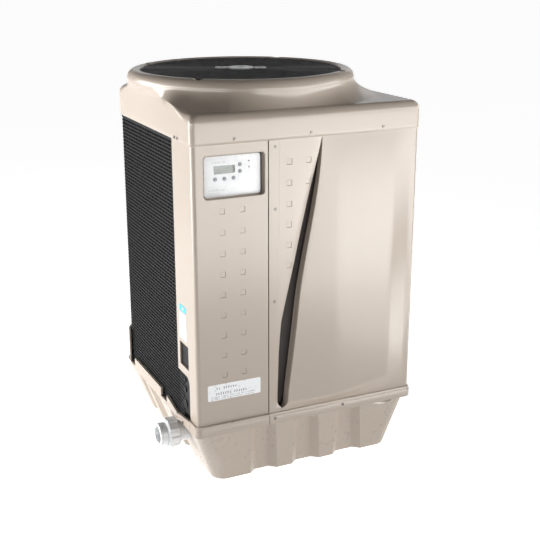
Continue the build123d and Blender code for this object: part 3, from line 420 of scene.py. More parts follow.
def cover_profile(reach, x, y):
    """The cover's outer section towards one point (x, y) of its edge, reach away from the fan's axis."""
    lip = spline([(THROAT_R, LIP_TOP - 16), (THROAT_R + 1.5, LIP_TOP - 7), (THROAT_R + 6, LIP_TOP - 2),
                  (THROAT_R + 14, LIP_TOP), (THROAT_R + 25, LIP_TOP - 1.5), (THROAT_R + 35, LIP_TOP - 6.5),
                  (THROAT_R + 43, LIP_TOP - 15), (LIP_R, LIP_TOP - 27), (LIP_R, BULGE_LOW)], 4)
    lip[:, 0] = np.minimum(lip[:, 0], LIP_R)
    # 1 where the cover has no rounded edge, at the left and the rear, and 0 at the front
    left = smooth((y - 40) / 150) if x < FAN_X else 0.0
    rear = smooth((WIDTH - 100 - x) / 70) if y > FAN_Y + 300 else 0.0
    plain = max(left if x < 60 else 0.0, rear)
    if x < REAR_CORNER and y > DEPTH - REAR_CORNER:
        plain = 1.0
    rise = 20 * smooth((y - 20) / 180) if x < 60 else 20 * plain
    wide = plain * np.clip((reach - LIP_R) / 40, 0, 1) * smooth((y - FAN_Y - 60) / 80)
    edge = EDGE_ROUND * (1 - plain) + 0.62 * wide * max(reach - LIP_R, 0)
    drop = EDGE_ROUND * (1 - plain) + 32 * wide
    run = min(NECK_REACH, max(reach - edge - LIP_R, -60))
    foot_z = DECK + rise - 3 * wide
    neck = bezier((LIP_R, BULGE_LOW), (LIP_R + (0.08 if run > 0 else 0.45) * run, foot_z + 20 - 8 * wide),
                  (LIP_R + run, foot_z), 16)
    out = [*lip, *neck]
    flat = np.linspace(LIP_R + run, reach - edge, 8)[1:]
    out += [(r, foot_z) for r in flat]
    for k in range(1, 13):
        turn = k / 12 * pi / 2
        out.append((reach - edge + edge * sin(turn), foot_z - drop * (1 - cos(turn))))
    base = foot_z - drop
    for z in np.linspace(base, SEAM + 1.2, 7)[1:]:
        out.append((reach, z))
    out += [(reach - 1.2, SEAM), (reach - 5, SEAM), (reach - 5, SEAM + 16)]
    return out


def top_cover():
    """The cover: its section turned round the fan, out to the cabinet's edge."""
    edge = outline(COVER_PROUD, 9)
    angle = np.arctan2(edge[:, 1] - FAN_Y, edge[:, 0] - FAN_X)
    far = np.hypot(edge[:, 0] - FAN_X, edge[:, 1] - FAN_Y)
    order = np.argsort(angle)
    angle, far = angle[order], far[order]
    even = np.arange(-pi, pi, radians(0.6))
    every = np.unique(np.round(np.concatenate([angle, even]), 5))
    reach = np.interp(every, np.concatenate([angle - 2 * pi, angle, angle + 2 * pi]),
                      np.concatenate([far, far, far]))
    rows = []
    for a, r in zip(every, reach):
        x, y = FAN_X + r * cos(a), FAN_Y + r * sin(a)
        section = cover_profile(r, x, y)
        inner = [(THROAT_R, SEAM - 1), (THROAT_R, SEAM + 60), (THROAT_R, DECK), (THROAT_R, LIP_TOP - 40)]
        rows.append([(FAN_X + q * cos(a), FAN_Y + q * sin(a), z) for q, z in inner + list(section)])
    rows = np.array(rows)
    # recesses in the lip for the guard's four screws
    for screw in range(4):
        a = radians(-135 + 90 * screw)
        sx, sy = FAN_X + SCREW_RADIUS * cos(a), FAN_Y + SCREW_RADIUS * sin(a)
        apart = np.hypot(rows[..., 0] - sx, rows[..., 1] - sy)
        sink = smooth((SCREW_SINK - apart) / 3.5)
        z = rows[..., 2]
        rows[..., 2] = np.where(z > SCREW_FLOOR, z + (SCREW_FLOOR - z) * sink, z)
    part = grid(rows, close_u=True)
    return make_piece("cover_shell", [(part, casing)], "cabinet", ["top_cover"], sharp=50)


# ---------------------------------------------------------------- access panel
SWOOSH_TOP = SEAM - 2
SWOOSH_BOTTOM = 266
CREASE_1 = 497
CREASE_2 = (706, 690)
SHIELD_RIGHT = 772
CREST_PROUD = 14
SHIELD_PROUD = 27
GROOVE_DEPTH = 15.5
GROOVE_FLOOR = 28
CHIN_LEFT = 270
CHIN_RIGHT = 312
DIMPLE = 17.5
DIMPLE_DEPTH = 1.6
DIMPLE_PITCH = 67.9
DIMPLE_LOW = 401.2
ACCESS_COLUMNS = (326.1, 393.2)
CONTROL_COLUMNS = (96.3, 164.1)
STRIP_RIGHT = 291
FIELD_RIGHT = 446
PANEL_GAP = 1.5


def crest_x(t):
    """Where the raised shield begins, t being 0 at the top and 1 at the bottom."""
    return 441 - 70 * t - 54 * smooth(t / 0.62) + 14 * np.sin(pi * np.clip(t / 0.95, 0, 1))


def groove_x(t):
    """The left edge of the dark groove beside the shield."""
    swing = -8 * np.sin(pi * np.clip(t / 0.46, 0, 1)) + 5 * np.sin(pi * np.clip((t - 0.46) / 0.5, 0, 1))
    return 439 - 152 * (smooth(t / 0.86) + np.minimum(t / 0.68, 1)) / 2 + swing


def dimples(x, z, columns):
    """Depth of the shallow square recesses at points of the front."""
    depth = np.zeros(np.broadcast(x, z).shape)
    for column, rows in columns:
        for row in rows:
            cz = DIMPLE_LOW + DIMPLE_PITCH * row
            away = np.maximum(np.abs(x - column), np.abs(z - cz))
            depth = np.maximum(depth, DIMPLE_DEPTH * smooth((DIMPLE / 2 + 0.7 - away) / 1.4))
    return depth


def feature_lines(start, stop, step, marks, width):
    """Evenly spaced values with extra ones round each mark, so that small steps stay crisp."""
    values = set(np.round(np.arange(start, stop, step), 3)) | {round(start, 3), round(stop, 3)}
    for mark in marks:
        values = {v for v in values if abs(v - mark) > width}
        values |= {round(mark - width, 3), round(mark + width, 3)}
    return np.array(sorted(v for v in values if start - 0.01 <= v <= stop + 0.01))


def dimple_marks(columns, rows):
    """Where the edges of the dimples fall, along x and along z."""
    xs = [c + s * DIMPLE / 2 for c in columns for s in (-1, 1)]
    zs = [DIMPLE_LOW + DIMPLE_PITCH * r + s * DIMPLE / 2 for r in rows for s in (-1, 1)]
    return xs, zs


def access_panel():
    """The panel's face as rows from bottom to top: the skin with its shield, and the groove."""
    x0 = SPLIT_X + PANEL_GAP
    marks_x, marks_z = dimple_marks(ACCESS_COLUMNS, range(5, 11))
    heights = feature_lines(BAND_TOP, PANEL_TOP, 5.0, marks_z, 0.75)
    columns = ((ACCESS_COLUMNS[0], range(5, 11)), (ACCESS_COLUMNS[1], (9, 10)))
    flat_x = feature_lines(x0, FIELD_RIGHT, 5.0, marks_x + [STRIP_RIGHT], 0.75)
    rows = []
    for z in heights:
        t = np.clip((SWOOSH_TOP - z) / (SWOOSH_TOP - SWOOSH_BOTTOM), 0, 1)
        below = np.clip((SWOOSH_BOTTOM + 4 - z) / 24, 0, 1)
        tip = np.sqrt(max(0.0, 1 - below ** 2))
        left = groove_x(t)
        crest = crest_x(t)
        width = (crest - left) * tip
        if below > 0:
            middle = (left + crest) / 2
            left, crest = middle - width / 2, middle + width / 2
        swell = 1 - (1 - t) ** 2
        foot = smooth((z - (BAND_TOP + 2)) / 34)
        chin_1 = smooth((z - (BAND_TOP + 2)) / (CHIN_LEFT - BAND_TOP - 2))
        chin_2 = smooth((z - (BAND_TOP + 2)) / (CHIN_RIGHT - BAND_TOP - 2))
        crest_y = -CREST_PROUD * swell * foot
        crease_2 = CREASE_2[0] + (CREASE_2[1] - CREASE_2[0]) * t
        line = []
        # flat field with its strip and dimples, rolled in towards the groove
        xs = np.minimum(flat_x, left)
        roll = 5.0 * tip * min(1.0, width / 22) * np.exp(-(left - xs) / 11)
        strip = -1.1 * (1 - smooth((xs - STRIP_RIGHT + 1) / 2))
        field = strip * smooth((z - BAND_TOP) / 4) + dimples(xs, z, columns) + roll
        line += [(x, y, z) for x, y in zip(xs, field)]
        edge_y = 5.0 * tip * min(1.0, width / 22)
        # the channel, its floor painted dark brown as the shade deep in the groove
        deep = GROOVE_FLOOR * min(1.0, width / 12)
        shallow = GROOVE_DEPTH * min(1.0, width / 9)
        rim = crest - 1.0
        line += [(left + 0.02 * width, max(edge_y, deep * 0.4), z),
                 (left + 0.06 * width, max(edge_y, deep), z),
                 (rim - 0.05 * width, max(edge_y, deep), z), (rim - 0.04 * width, shallow + 1.5, z)]
        # the wall up to the crest, with a rolled rim at its foot and its top
        line += [(rim - 0.3, shallow, z), (rim, shallow * 0.8, z), (crest - 0.6, (shallow + crest_y) / 2, z),
                 (crest, crest_y + 2.2 * swell * foot, z), (crest + 0.5, crest_y + 0.9 * swell * foot, z),
                 (crest + 1.6, crest_y + 0.1, z)]
        # facets
        for k in range(1, 11):
            s = k / 10
            y = crest_y + (-SHIELD_PROUD * swell * chin_1 - crest_y) * s
            line.append((crest + 1.6 + (CREASE_1 - crest - 1.6) * s, y, z))
        for k in range(1, 11):
            s = k / 10
            chin = smooth((z - (BAND_TOP + 2)) / (CHIN_LEFT - BAND_TOP - 2 + (CHIN_RIGHT - CHIN_LEFT) * s))
            line.append((CREASE_1 + (crease_2 - CREASE_1) * s, -SHIELD_PROUD * swell * chin, z))
        for k in range(1, 9):
            s = k / 8
            y = -SHIELD_PROUD * swell * chin_2 * (1 - s)
            line.append((crease_2 + (SHIELD_RIGHT - crease_2) * s, y, z))
        corner = arc(WIDTH - FRONT_CORNER, FRONT_CORNER, FRONT_CORNER, -90, 0, 8)
        line += [(x, y, z) for x, y in corner[1:]]
        line += [(WIDTH, 80, z), (WIDTH, SIDE_RETURN - 1, z),
                 (WIDTH - 1, SIDE_RETURN, z), (WIDTH - 5, SIDE_RETURN, z)]
        rows.append(line)
    rows = np.array(rows)
    start = len(flat_x)
    skin_a = grid(rows[:, :start + 1], flip=True)
    channel = grid(rows[:, start:start + 4], flip=True)
    facets = []
    shield = start + 10
    for first, last, shift in ((start + 3, shield, 0.0), (shield, shield + 10, 0.05),
                               (shield + 10, shield + 20, 0.0), (shield + 20, shield + 28, 0.05),
                               (shield + 28, rows.shape[1] - 1, 0.0)):
        piece = rows[:, first:last + 1].copy()
        piece[..., 1] += shift
        facets.append(grid(piece, flip=True))
    return joined([skin_a, *facets]), channel


def band_section(z_low, z_high):
    """The rim band's outer section from bottom to top: (proud, z)."""
    return [(-4, z_low), (BAND_PROUD - 2.5, z_low),
            (BAND_PROUD - 0.8, z_low + 0.8), (BAND_PROUD, z_low + 2.5),
            (BAND_PROUD, z_high - 13), (BAND_PROUD - 0.6, z_high - 11.6), (BAND_PROUD - 2.4, z_high - 11),
            (BAND_PROUD - 2.8, z_high - 9.5), (BAND_PROUD - 2.8, z_high - 4), (BAND_PROUD - 3.4, z_high - 2),
            (BAND_PROUD - 5, z_high - 0.6), (1.0, z_high), (-1.0, z_high + 0.5)]


def band_strip(points, section):
    """The band swept along plan points with outward normals."""
    rows = []
    for (x, y), (nx, ny) in points:
        rows.append([(x + nx * out, y + ny * out, z) for out, z in section])
    return grid(rows)


def round_corner(x, start):
    """Plan points and normals round a front corner whose centre is at x."""
    points = arc(x, FRONT_CORNER, FRONT_CORNER, start, start + 90, 8)
    return list(zip(points, arc(0, 0, 1, start, start + 90, 8)))


def front_path(x0, x1, left_to=None, right_to=None):
    """Plan points and normals along the front, round the front corners where asked."""
    path = []
    if left_to is not None:
        for y in np.arange(left_to, FRONT_CORNER, -8):
            path.append(((0, y), (-1, 0)))
        path += round_corner(FRONT_CORNER, 180)
    else:
        path.append(((x0, 0), (0, -1)))
    for x in np.arange(max(x0, FRONT_CORNER) + 12, min(x1, WIDTH - FRONT_CORNER) - 1, 12):
        path.append(((x, 0), (0, -1)))
    if right_to is not None:
        path += round_corner(WIDTH - FRONT_CORNER, 270)
        for y in np.arange(FRONT_CORNER + 8, right_to, 12):
            path.append(((WIDTH, y), (1, 0)))
        path.append(((WIDTH, right_to), (1, 0)))
    else:
        path.append(((x1, 0), (0, -1)))
    return path


def build_access():
    """The access panel with its part of the band and its closing edges."""
    skin, channel = access_panel()
    x = SPLIT_X + PANEL_GAP
    band = band_strip(front_path(x, WIDTH, right_to=SIDE_RETURN), band_section(BAND_LOW, BAND_TOP))
    edges = [block(x, x + 2, -BAND_PROUD + 1.2, 4, BAND_LOW + 1, BAND_TOP - 12),
             block(x, x + 1.5, 0.0, 12, BAND_TOP, PANEL_TOP),
             block(x, WIDTH - FRONT_CORNER, 0.3, 5, PANEL_TOP - 2, PANEL_TOP)]
    # the channel's floor takes the painted-shade brown
    surfaces = [(skin, casing), (channel, groove_shade_paint), (band, casing), (joined(edges), casing)]
    return make_piece("access_shell", surfaces, "service_panel", ["access_panel"], sharp=24)


def pan_rim():
    """The rim band of the base pan under the control panel."""
    section = band_section(BAND_LOW - 0.3, BAND_TOP - 0.1)
    section = [(out + 0.35, z) for out, z in section]
    band = band_strip(front_path(0, SPLIT_X - 1, left_to=64), section)
    return make_piece("pan_rim", [(band, casing)], "cabinet", sharp=24)


top_cover()
build_access()
pan_rim()

# ---------------------------------------------------------------- fan guard and its hub
GUARD_PLANE = low("guard_hub")[2]
GUARD_SEAT_TOP = low("fan_guard")[2] + 2.5
GUARD_R = 337
RIB_COUNT = 48
RING_COUNT = 38
RING_PITCH = 7.5


def circle(radius, z, count=144):
    turn = np.arange(count) * 2 * pi / count
    return np.stack([FAN_X + radius * np.cos(turn), FAN_Y + radius * np.sin(turn), np.full(count, z)], -1)


def fan_guard():
    """Rings on swept ribs, with a plate at the centre and a tab for each screw."""
    parts = []
    for k in range(RING_COUNT):
        radius = GUARD_R - 1.6 - RING_PITCH * k
        parts.append(tube(circle(radius, GUARD_PLANE - 1.5), 1.5, 6, close=True))
    for k in range(RIB_COUNT):
        start = 2 * pi * k / RIB_COUNT
        reach = np.linspace(50, GUARD_R - 1, 22)
        sweep = start + 0.16 * (reach / GUARD_R) ** 2
        level = np.full_like(reach, GUARD_PLANE - 3.4)
        path = np.stack([FAN_X + reach * np.cos(sweep), FAN_Y + reach * np.sin(sweep), level], -1)
        parts.append(tube(path, 1.7, 6))
    plate = ring(FAN_X, FAN_Y, 56, GUARD_PLANE - 4, GUARD_PLANE - 0.6, 55)
    parts.append(plate)
    rim = ring(FAN_X, FAN_Y, GUARD_R, GUARD_PLANE - 6, GUARD_PLANE - 0.5, 3.2)
    parts.append(rim)
    for k in range(4):
        a = radians(-135 + 90 * k)
        out = np.array([cos(a), sin(a), 0])
        along = np.array([-sin(a), cos(a), 0])
        base = np.array([FAN_X, FAN_Y, GUARD_SEAT_TOP - 1.2])
        tab = [base + out * r + along * w for r, w in
               ((GUARD_R - 6, -9), (SCREW_RADIUS, -9), (SCREW_RADIUS + 5, -7), (SCREW_RADIUS + 8, 0),
                (SCREW_RADIUS + 5, 7), (SCREW_RADIUS, 9), (GUARD_R - 6, 9))]
        parts.append(prism(tab, 1.2))
        drop = [base + out * r + along * w + [0, 0, 1] for r, w in
                ((GUARD_R - 7, -9), (GUARD_R - 4, -9), (GUARD_R - 4, 9), (GUARD_R - 7, 9))]
        parts.append(prism(drop, max(2.0, GUARD_PLANE - GUARD_SEAT_TOP)))
    return make_piece("fan_grille", [(joined(parts), guard_wire)], "cabinet", ["fan_guard"])


def prism(points, height, step=(0, 0, 1)):
    """A closed prism over a convex outline that runs anticlockwise seen from its far end."""
    low_ring = np.array(points, float)
    high_ring = low_ring + np.array(step, float) * height
    count = len(low_ring)
    faces = [list(range(count))[::-1], list(range(count, 2 * count))]
    for k in range(count):
        n = (k + 1) % count
        faces.append([k, n, count + n, count + k])
    return np.concatenate([low_ring, high_ring]), faces


def rounded_loop(points, corner, count=5):
    """A closed outline with its corners rounded; points are pairs."""
    out = []
    p = [np.array(q, float) for q in points]
    for k in range(len(p)):
        before, here, after = p[k - 1], p[k], p[(k + 1) % len(p)]
        a = here + (before - here) / np.linalg.norm(before - here) * corner
        b = here + (after - here) / np.linalg.norm(after - here) * corner
        for s in range(count + 1):
            t = s / count
            out.append((1 - t) ** 2 * a + 2 * t * (1 - t) * here + t ** 2 * b)
    return np.array(out)


def frame_ring(outer, inner, z0, z1, soft=0.6):
    """A flat frame between two outlines with equal counts, its upper edges softened."""
    rows = []
    for o, i in zip(outer, inner):
        d = (o - i) / max(np.linalg.norm(o - i), 1e-6)
        rows.append([(*i, z0), (*o, z0), (*o, z1 - soft),
                     (*(o - d * soft), z1), (*(i + d * soft), z1), (*i, z1 - soft)])
    return grid(rows, close_u=True, close_v=True, flip=True)


def hexagon(radius, start=0.0):
    return [(radius * cos(radians(start + 60 * k)), radius * sin(radians(start + 60 * k))) for k in range(6)]


HUB_R = 48
HUB_TURN = -25
LOOP_AWAY = 66
HOLE_AWAY = 33


def guard_hub():
    """The guard's centre plate with its holes, and an open loop at each side."""
    z0 = low("guard_hub")[2]
    z1 = min(high("guard_hub")[2], z0 + 3.5)
    turn = radians(HUB_TURN)
    spin = np.array([[cos(turn), -sin(turn)], [sin(turn), cos(turn)]])
    place = np.array([FAN_X, FAN_Y])
    around = [radians(60 * k + 30) for k in range(6)]
    holes = [circle_loop_at(0, 0, 17)]
    holes += [circle_loop_at(HOLE_AWAY * cos(a), HOLE_AWAY * sin(a), 5.5, 12) for a in around]
    rim = rounded_loop(hexagon(HUB_R), 12)
    parts = [flat_face(rim.tolist(), [h[::-1] for h in holes], lambda u, v: (u, v, z1))]
    parts.append(wall_ring(rim.tolist(), lambda u, v: (u, v, z1), lambda u, v: (u, v, z0), flip=True))
    for loop in holes:
        parts.append(wall_ring(loop, lambda u, v: (u, v, z1), lambda u, v: (u, v, z0)))
    for side in (-1, 1):
        centre_at = np.array([side * LOOP_AWAY, 0])
        outer = rounded_loop(hexagon(24), 6) + centre_at
        inner = rounded_loop(hexagon(16.5), 4) + centre_at
        parts.append(frame_ring(outer, inner, z0, z1 - 0.6))
    whole = joined(parts)
    points = whole[0].copy()
    points[:, :2] = points[:, :2] @ spin.T + place
    return make_piece("hub_plate", [((points, whole[1]), hub_white)], "cabinet", ["guard_hub"])


# ---------------------------------------------------------------- coil guard
ROW_PITCH = 12.2
BEAD_PITCH = 26.0
BAR = 4.4
BAR_SWELL = 1.3
MESH_FRONT = 175
NOTCH_FRONT = 128
NOTCH_TOP = 372
UPRIGHT_STEP = 4


def coil_path(front_left, front_right, step=6.5):
    """The U path of the coil guard's middle line with outward normals."""
    x0, y1 = 3.6, DEPTH - 3.6
    r = REAR_CORNER - 3.6
    points = []
    for y in np.arange(front_left, DEPTH - REAR_CORNER, step):
        points.append((x0, y, -1, 0))
    count = int(r * pi / 2 / step)

    def corner(x, start):
        places = arc(x, DEPTH - REAR_CORNER, r, start, start - 90, count)
        return [(*place, *normal) for place, normal in zip(places, arc(0, 0, 1, start, start - 90, count))]

    points += corner(REAR_CORNER, 180)
    for x in np.arange(REAR_CORNER + step, WIDTH - REAR_CORNER, step):
        points.append((x, y1, 0, 1))
    points += corner(WIDTH - REAR_CORNER, 90)
    for y in np.arange(DEPTH - REAR_CORNER - step, front_right, -step):
        points.append((WIDTH - x0, y, 1, 0))
    points.append((WIDTH - x0, front_right, 1, 0))
    return np.array(points)


def coil_guard():
    """Beaded rows on thin uprights, over a near-black sheet of painted shade."""
    z_low = low("coil_guard")[2] + 5
    z_high = high("coil_guard")[2] - 5
    wide = coil_path(MESH_FRONT, MESH_FRONT)
    deep = coil_path(NOTCH_FRONT, MESH_FRONT)
    parts = []
    for number, z in enumerate(np.arange(z_low, z_high, ROW_PITCH)):
        path = deep if z < NOTCH_TOP else wide
        gone = np.hypot(np.diff(path[:, 0]), np.diff(path[:, 1]))
        s = np.concatenate([[0], np.cumsum(gone)]) + (BEAD_PITCH / 2 if number % 2 else 0)
        wave = np.sin(2 * pi * s / BEAD_PITCH)
        half = (BAR + BAR_SWELL * wave) / 2
        turn = np.arange(6) * 2 * pi / 6 + 0.3
        across = half[:, None] * np.cos(turn) * 0.62
        upward = half[:, None] * np.sin(turn) * 1.15 - across * 0.5
        rows = np.stack([path[:, 0, None] + path[:, 2, None] * across,
                         path[:, 1, None] + path[:, 3, None] * across,
                         np.full_like(across, z) + upward], -1)
        parts.append(grid(rows, close_v=True, flip=True))
    # the thin uprights that the rows are moulded to
    backs = []
    for k in range(6, len(wide) - 6, UPRIGHT_STEP):
        x, y, nx, ny = wide[k]
        side = np.array([-ny, nx])
        corners = [(-0.4, -0.9), (-2.2, -0.9), (-2.2, 0.9), (-0.4, 0.9)]
        outline_points = [(x + nx * o + side[0] * w, y + ny * o + side[1] * w, z_low) for o, w in corners]
        post = prism(outline_points, z_high - z_low)
        backs.append(post)
    # a near-black sheet just behind the rows, standing in for the dark coil and painting the shade inside the
    # cabinet
    sheet = []
    for x, y, nx, ny in coil_path(NOTCH_FRONT, MESH_FRONT, 18):
        sheet.append([(x - nx * 2.6, y - ny * 2.6, z_low - 4), (x - nx * 2.6, y - ny * 2.6, z_high + 4)])
    shade_sheet = grid(sheet)
    edges = []
    for z0, z1 in ((z_low - 4.5, z_low - 0.5), (z_high + 0.5, z_high + 4.5)):
        rows = []
        for x, y, nx, ny in coil_path(MESH_FRONT, MESH_FRONT, 10):
            rows.append([(x + nx * o, y + ny * o, z) for o, z in ((-2, z0), (2.4, z0), (2.4, z1), (-2, z1))])
        edges.append(grid(rows, close_v=True))
    for x0, x1 in ((1.2, 6.0), (WIDTH - 6.0, WIDTH - 1.2)):
        foot = NOTCH_TOP - 4 if x0 < 9 else z_low
        edges.append(block(x0, x1, MESH_FRONT - 0.5, MESH_FRONT + 5, foot, z_high + 4))
    return make_piece("coil_mesh", [(joined(parts), guard_black), (joined(backs), guard_black),
                                    (shade_sheet, painted_void_shade), (joined(edges), guard_black)],
                      "cabinet", ["coil_guard"], sharp=50)


# ---------------------------------------------------------------- control panel
def flat_face(outline_points, holes, lift, flip=False):
    """A flat face with holes; lift turns each pair (u, v) into a point."""
    loops = [outline_points] + list(holes)
    flat = [Vector((u, v, 0)) for loop in loops for u, v in loop]
    faces = tessellate_polygon([[Vector((u, v, 0)) for u, v in loop] for loop in loops])
    faces = [list(face) for face in faces]
    points = [lift(q.x, q.y) for q in flat]
    want = -1 if flip else 1
    fixed = []
    for a, b, c in faces:
        area = (flat[b] - flat[a]).cross(flat[c] - flat[a]).z
        fixed.append([a, b, c] if area * want > 0 else [a, c, b])
    return np.array(points, float), fixed


def round_rect(x0, x1, z0, z1, r, inset=0.0, count=6):
    """A rounded rectangle, anticlockwise in x and z."""
    x0, x1, z0, z1 = x0 + inset, x1 - inset, z0 + inset, z1 - inset
    r = max(r - inset, 0.4)
    out = []
    corners = ((x1 - r, z0 + r, -90), (x1 - r, z1 - r, 0), (x0 + r, z1 - r, 90), (x0 + r, z0 + r, 180))
    for cx, cz, start in corners:
        out += arc(cx, cz, r, start, start + 90, count)
    return out


def recess(rect, r, steps, count=6):
    """The walls of a rounded recess in the front: steps are (inset, depth)."""
    rows = []
    for inset, depth in steps:
        rows.append([(x, depth, z) for x, z in round_rect(*rect, r, inset, count)])
    return grid(rows, close_v=True, flip=True)


def recess_floor(rect, r, inset, depth, count=6):
    """The flat floor of a rounded recess."""
    return flat_face(round_rect(*rect, r, inset, count), [], lambda x, z: (x, depth, z))


DIMPLE_R = 2.2
# a hair's breadth that keeps flat faces from being welded and shaded together with round ones
APART = 0.03
POCKET = (37, 241, 984, 1119)
POCKET_R = 11
POCKET_DEPTH = 16
SIDE_WINDOW = (72, 150, 403.5, 484.5)
NOTCH_Y = 68
NOTCH_HIGH = 377
NOTCH_R = 26
SKIN = 5


def wall_ring(loop, lift_outer, lift_inner, flip=False):
    """A wall that joins one loop at two depths."""
    rows = [[lift_outer(u, v) for u, v in loop], [lift_inner(u, v) for u, v in loop]]
    return grid(rows, close_v=True, flip=flip)


def control_panel():
    """The panel with its pocket, dimples, round front corner and side return."""
    z0 = BAND_TOP + 0.2
    z1 = PANEL_TOP
    x1 = SPLIT_X - PANEL_GAP
    parts = []
    squares = [(x - DIMPLE / 2, x + DIMPLE / 2, DIMPLE_LOW + DIMPLE_PITCH * k - DIMPLE / 2,
                DIMPLE_LOW + DIMPLE_PITCH * k + DIMPLE / 2) for x in CONTROL_COLUMNS for k in range(9)]
    front = [(FRONT_CORNER, z0), (x1, z0), (x1, z1), (FRONT_CORNER, z1)]
    holes = [round_rect(*POCKET, POCKET_R, -1.6)[::-1]]
    holes += [round_rect(*q, DIMPLE_R, -0.5, 2)[::-1] for q in squares]
    parts.append(flat_face(front, holes, lambda x, z: (x, 0, z)))
    steps = ((-1.6, APART), (-0.5, 0.45), (0, 1.6), (0.2, POCKET_DEPTH), (4, POCKET_DEPTH))
    parts.append(recess(POCKET, POCKET_R, steps))
    for q in squares:
        parts.append(recess(q, DIMPLE_R, ((-0.5, APART), (0.5, DIMPLE_DEPTH)), 2))
        parts.append(recess_floor(q, DIMPLE_R, 0.5, DIMPLE_DEPTH - APART, 2))
    # the round front corner
    corner = arc(FRONT_CORNER, FRONT_CORNER, FRONT_CORNER + APART, 180, 270, 8)
    parts.append(grid([[(x, y, z) for z in (z0, z1)] for x, y in corner]))
    # the side return with its window and its notch
    notch = [(NOTCH_Y, z0), *arc(NOTCH_Y + NOTCH_R, NOTCH_HIGH - NOTCH_R, NOTCH_R, 180, 90, 8)]
    side = [(FRONT_CORNER, z0), *notch, (SIDE_RETURN, NOTCH_HIGH), (SIDE_RETURN, z1), (FRONT_CORNER, z1)]
    window = round_rect(*SIDE_WINDOW, 4)
    parts.append(flat_face(side, [window[::-1]], lambda y, z: (0, y, z), flip=True))
    parts.append(flat_face(side, [window[::-1]], lambda y, z: (SKIN, y, z)))
    parts.append(wall_ring(window, lambda y, z: (0, y, z), lambda y, z: (SKIN, y, z)))
    parts.append(wall_ring(side, lambda y, z: (0, y, z), lambda y, z: (SKIN, y, z), flip=True))
    # inner faces and closing edges of the front
    parts.append(block(FRONT_CORNER, x1, 3.5, SKIN, z0, DIMPLE_LOW - 40))
    parts.append(block(x1 - 0.01, x1, 0, 12, z0, z1))
    parts.append(block(6, x1, 0.3, SKIN, z1 - 1, z1))
    parts.append(frame_walls(POCKET))
    return make_piece("control_shell", [(joined(parts), casing)], "cabinet",
                      ["control_panel"], sharp=12)


def frame_walls(rect):
    """The bars behind the front skin, above and below the pocket."""
    x0, x1, z0, z1 = rect
    top = block(x0 - 3, x1 + 3, 2, POCKET_DEPTH, z1 + 1.8, z1 + 3)
    foot = block(x0 - 3, x1 + 3, 2, POCKET_DEPTH, z0 - 3, z0 - 1.8)
    return joined([top, foot])


# ---------------------------------------------------------------- faceplate and labels
PLATE = (43, 232, 988, 1115)
PLATE_Y = 12.5
PLATE_R = 10
BUTTONS = ("button_mode", "button_menu", "button_enter", "button_up", "button_down")
BUTTON_R = 6.0
LAMPS = ((193.2, 1092.4), (193.2, 1073.4))
LAMP_R = 2.7


def mark(x0, x1, z0, z1, y=PLATE_Y - 0.12):
    """A printed mark on the front of something, facing the front."""
    points = [(x0, y, z0), (x1, y, z0), (x1, y, z1), (x0, y, z1)]
    return np.array(points, float), [[0, 1, 2, 3]]


def strokes(x, z, height, count, pitch, y, seed, width=0.9):
    """A row of short printed strokes that stand in for small print."""
    dice = np.random.default_rng(seed)
    parts = []
    for k in range(count):
        tall = height * (0.6 + 0.4 * dice.random())
        if dice.random() < 0.16:
            continue
        at = x + k * pitch
        parts.append(mark(at, at + width, z, z + tall, y))
        if dice.random() < 0.6:
            parts.append(mark(at, at + pitch * 0.75, z + tall - 0.7, z + tall, y))
    return joined(parts)


def control_faceplate():
    """The plate with openings for the window, buttons and lamps, and its small print."""
    body = []
    rows = []
    for inset, depth in ((0, POCKET_DEPTH), (0, PLATE_Y + 1.0), (0.3, PLATE_Y + 0.3), (1.0, PLATE_Y)):
        rows.append([(x, depth, z) for x, z in round_rect(*PLATE, PLATE_R, inset)])
    body.append(grid(rows, close_v=True, flip=True))
    holes = [cut("display_window", 0.1)]
    holes += [circle_loop(name, 0.35) for name in BUTTONS]
    holes += [circle_loop_at(x, z, LAMP_R) for x, z in LAMPS]
    rim = round_rect(*PLATE, PLATE_R, 1.0)
    body.append(flat_face(rim, [h[::-1] for h in holes], lambda x, z: (x, PLATE_Y, z)))
    for loop in holes:
        body.append(wall_ring(loop, lambda x, z: (x, PLATE_Y, z), lambda x, z: (x, POCKET_DEPTH, z),
                              flip=True))
    y = PLATE_Y - 0.1
    ink = [strokes(72, 1092, 6.5, 11, 4.2, y, 3, 1.3), strokes(60, 1006, 7, 12, 4.4, y, 5, 1.1),
           strokes(60, 997, 4.5, 11, 3.2, y, 7, 0.8)]
    return make_piece("faceplate_shell", [(joined(body), faceplate), (joined(ink), print_grey)],
                      "cabinet", ["control_faceplate"], sharp=30)


def cut(node, gap):
    """A rectangle round the front of a CAD node, with a gap all round."""
    a, b = low(node), high(node)
    x0, x1, z0, z1 = a[0] - gap, b[0] + gap, a[2] - gap, b[2] + gap
    return [(x0, z0), (x1, z0), (x1, z1), (x0, z1)]


def circle_loop(node, gap):
    """A circle round the front of a button, with a gap all round."""
    middle = centre(node)
    return circle_loop_at(middle[0], middle[2], BUTTON_R + gap)


def circle_loop_at(x, z, r, count=24):
    return [(x + r * cos(2 * pi * k / count), z + r * sin(2 * pi * k / count)) for k in range(count)]


def display():
    """The window over a grey display: a black strip down its right edge and a row of lit segments."""
    a, b = low("display_module"), high("display_module")
    face = a[1]
    body = block(a[0], b[0], face + 0.3, b[1], a[2], b[2])
    inner = [strokes(a[0] + 7, a[2] + 13.5, 6, 12, 4.4, face + 0.15, 11, 1.0),
             strokes(a[0] + 7, a[2] + 4.5, 6, 12, 4.4, face + 0.15, 12, 1.0)]
    # a black strip down the right edge of the display's face, drawn in the ink colour
    side = mark(b[0] - 6.5, b[0] - 0.5, a[2] + 0.6, b[2] - 0.6, face + 0.14)
    surfaces = [(body, display_glow), (joined(inner), display_dark), (side, print_ink)]
    return make_piece("display_body", surfaces,
                      "cabinet", ["display_module"])


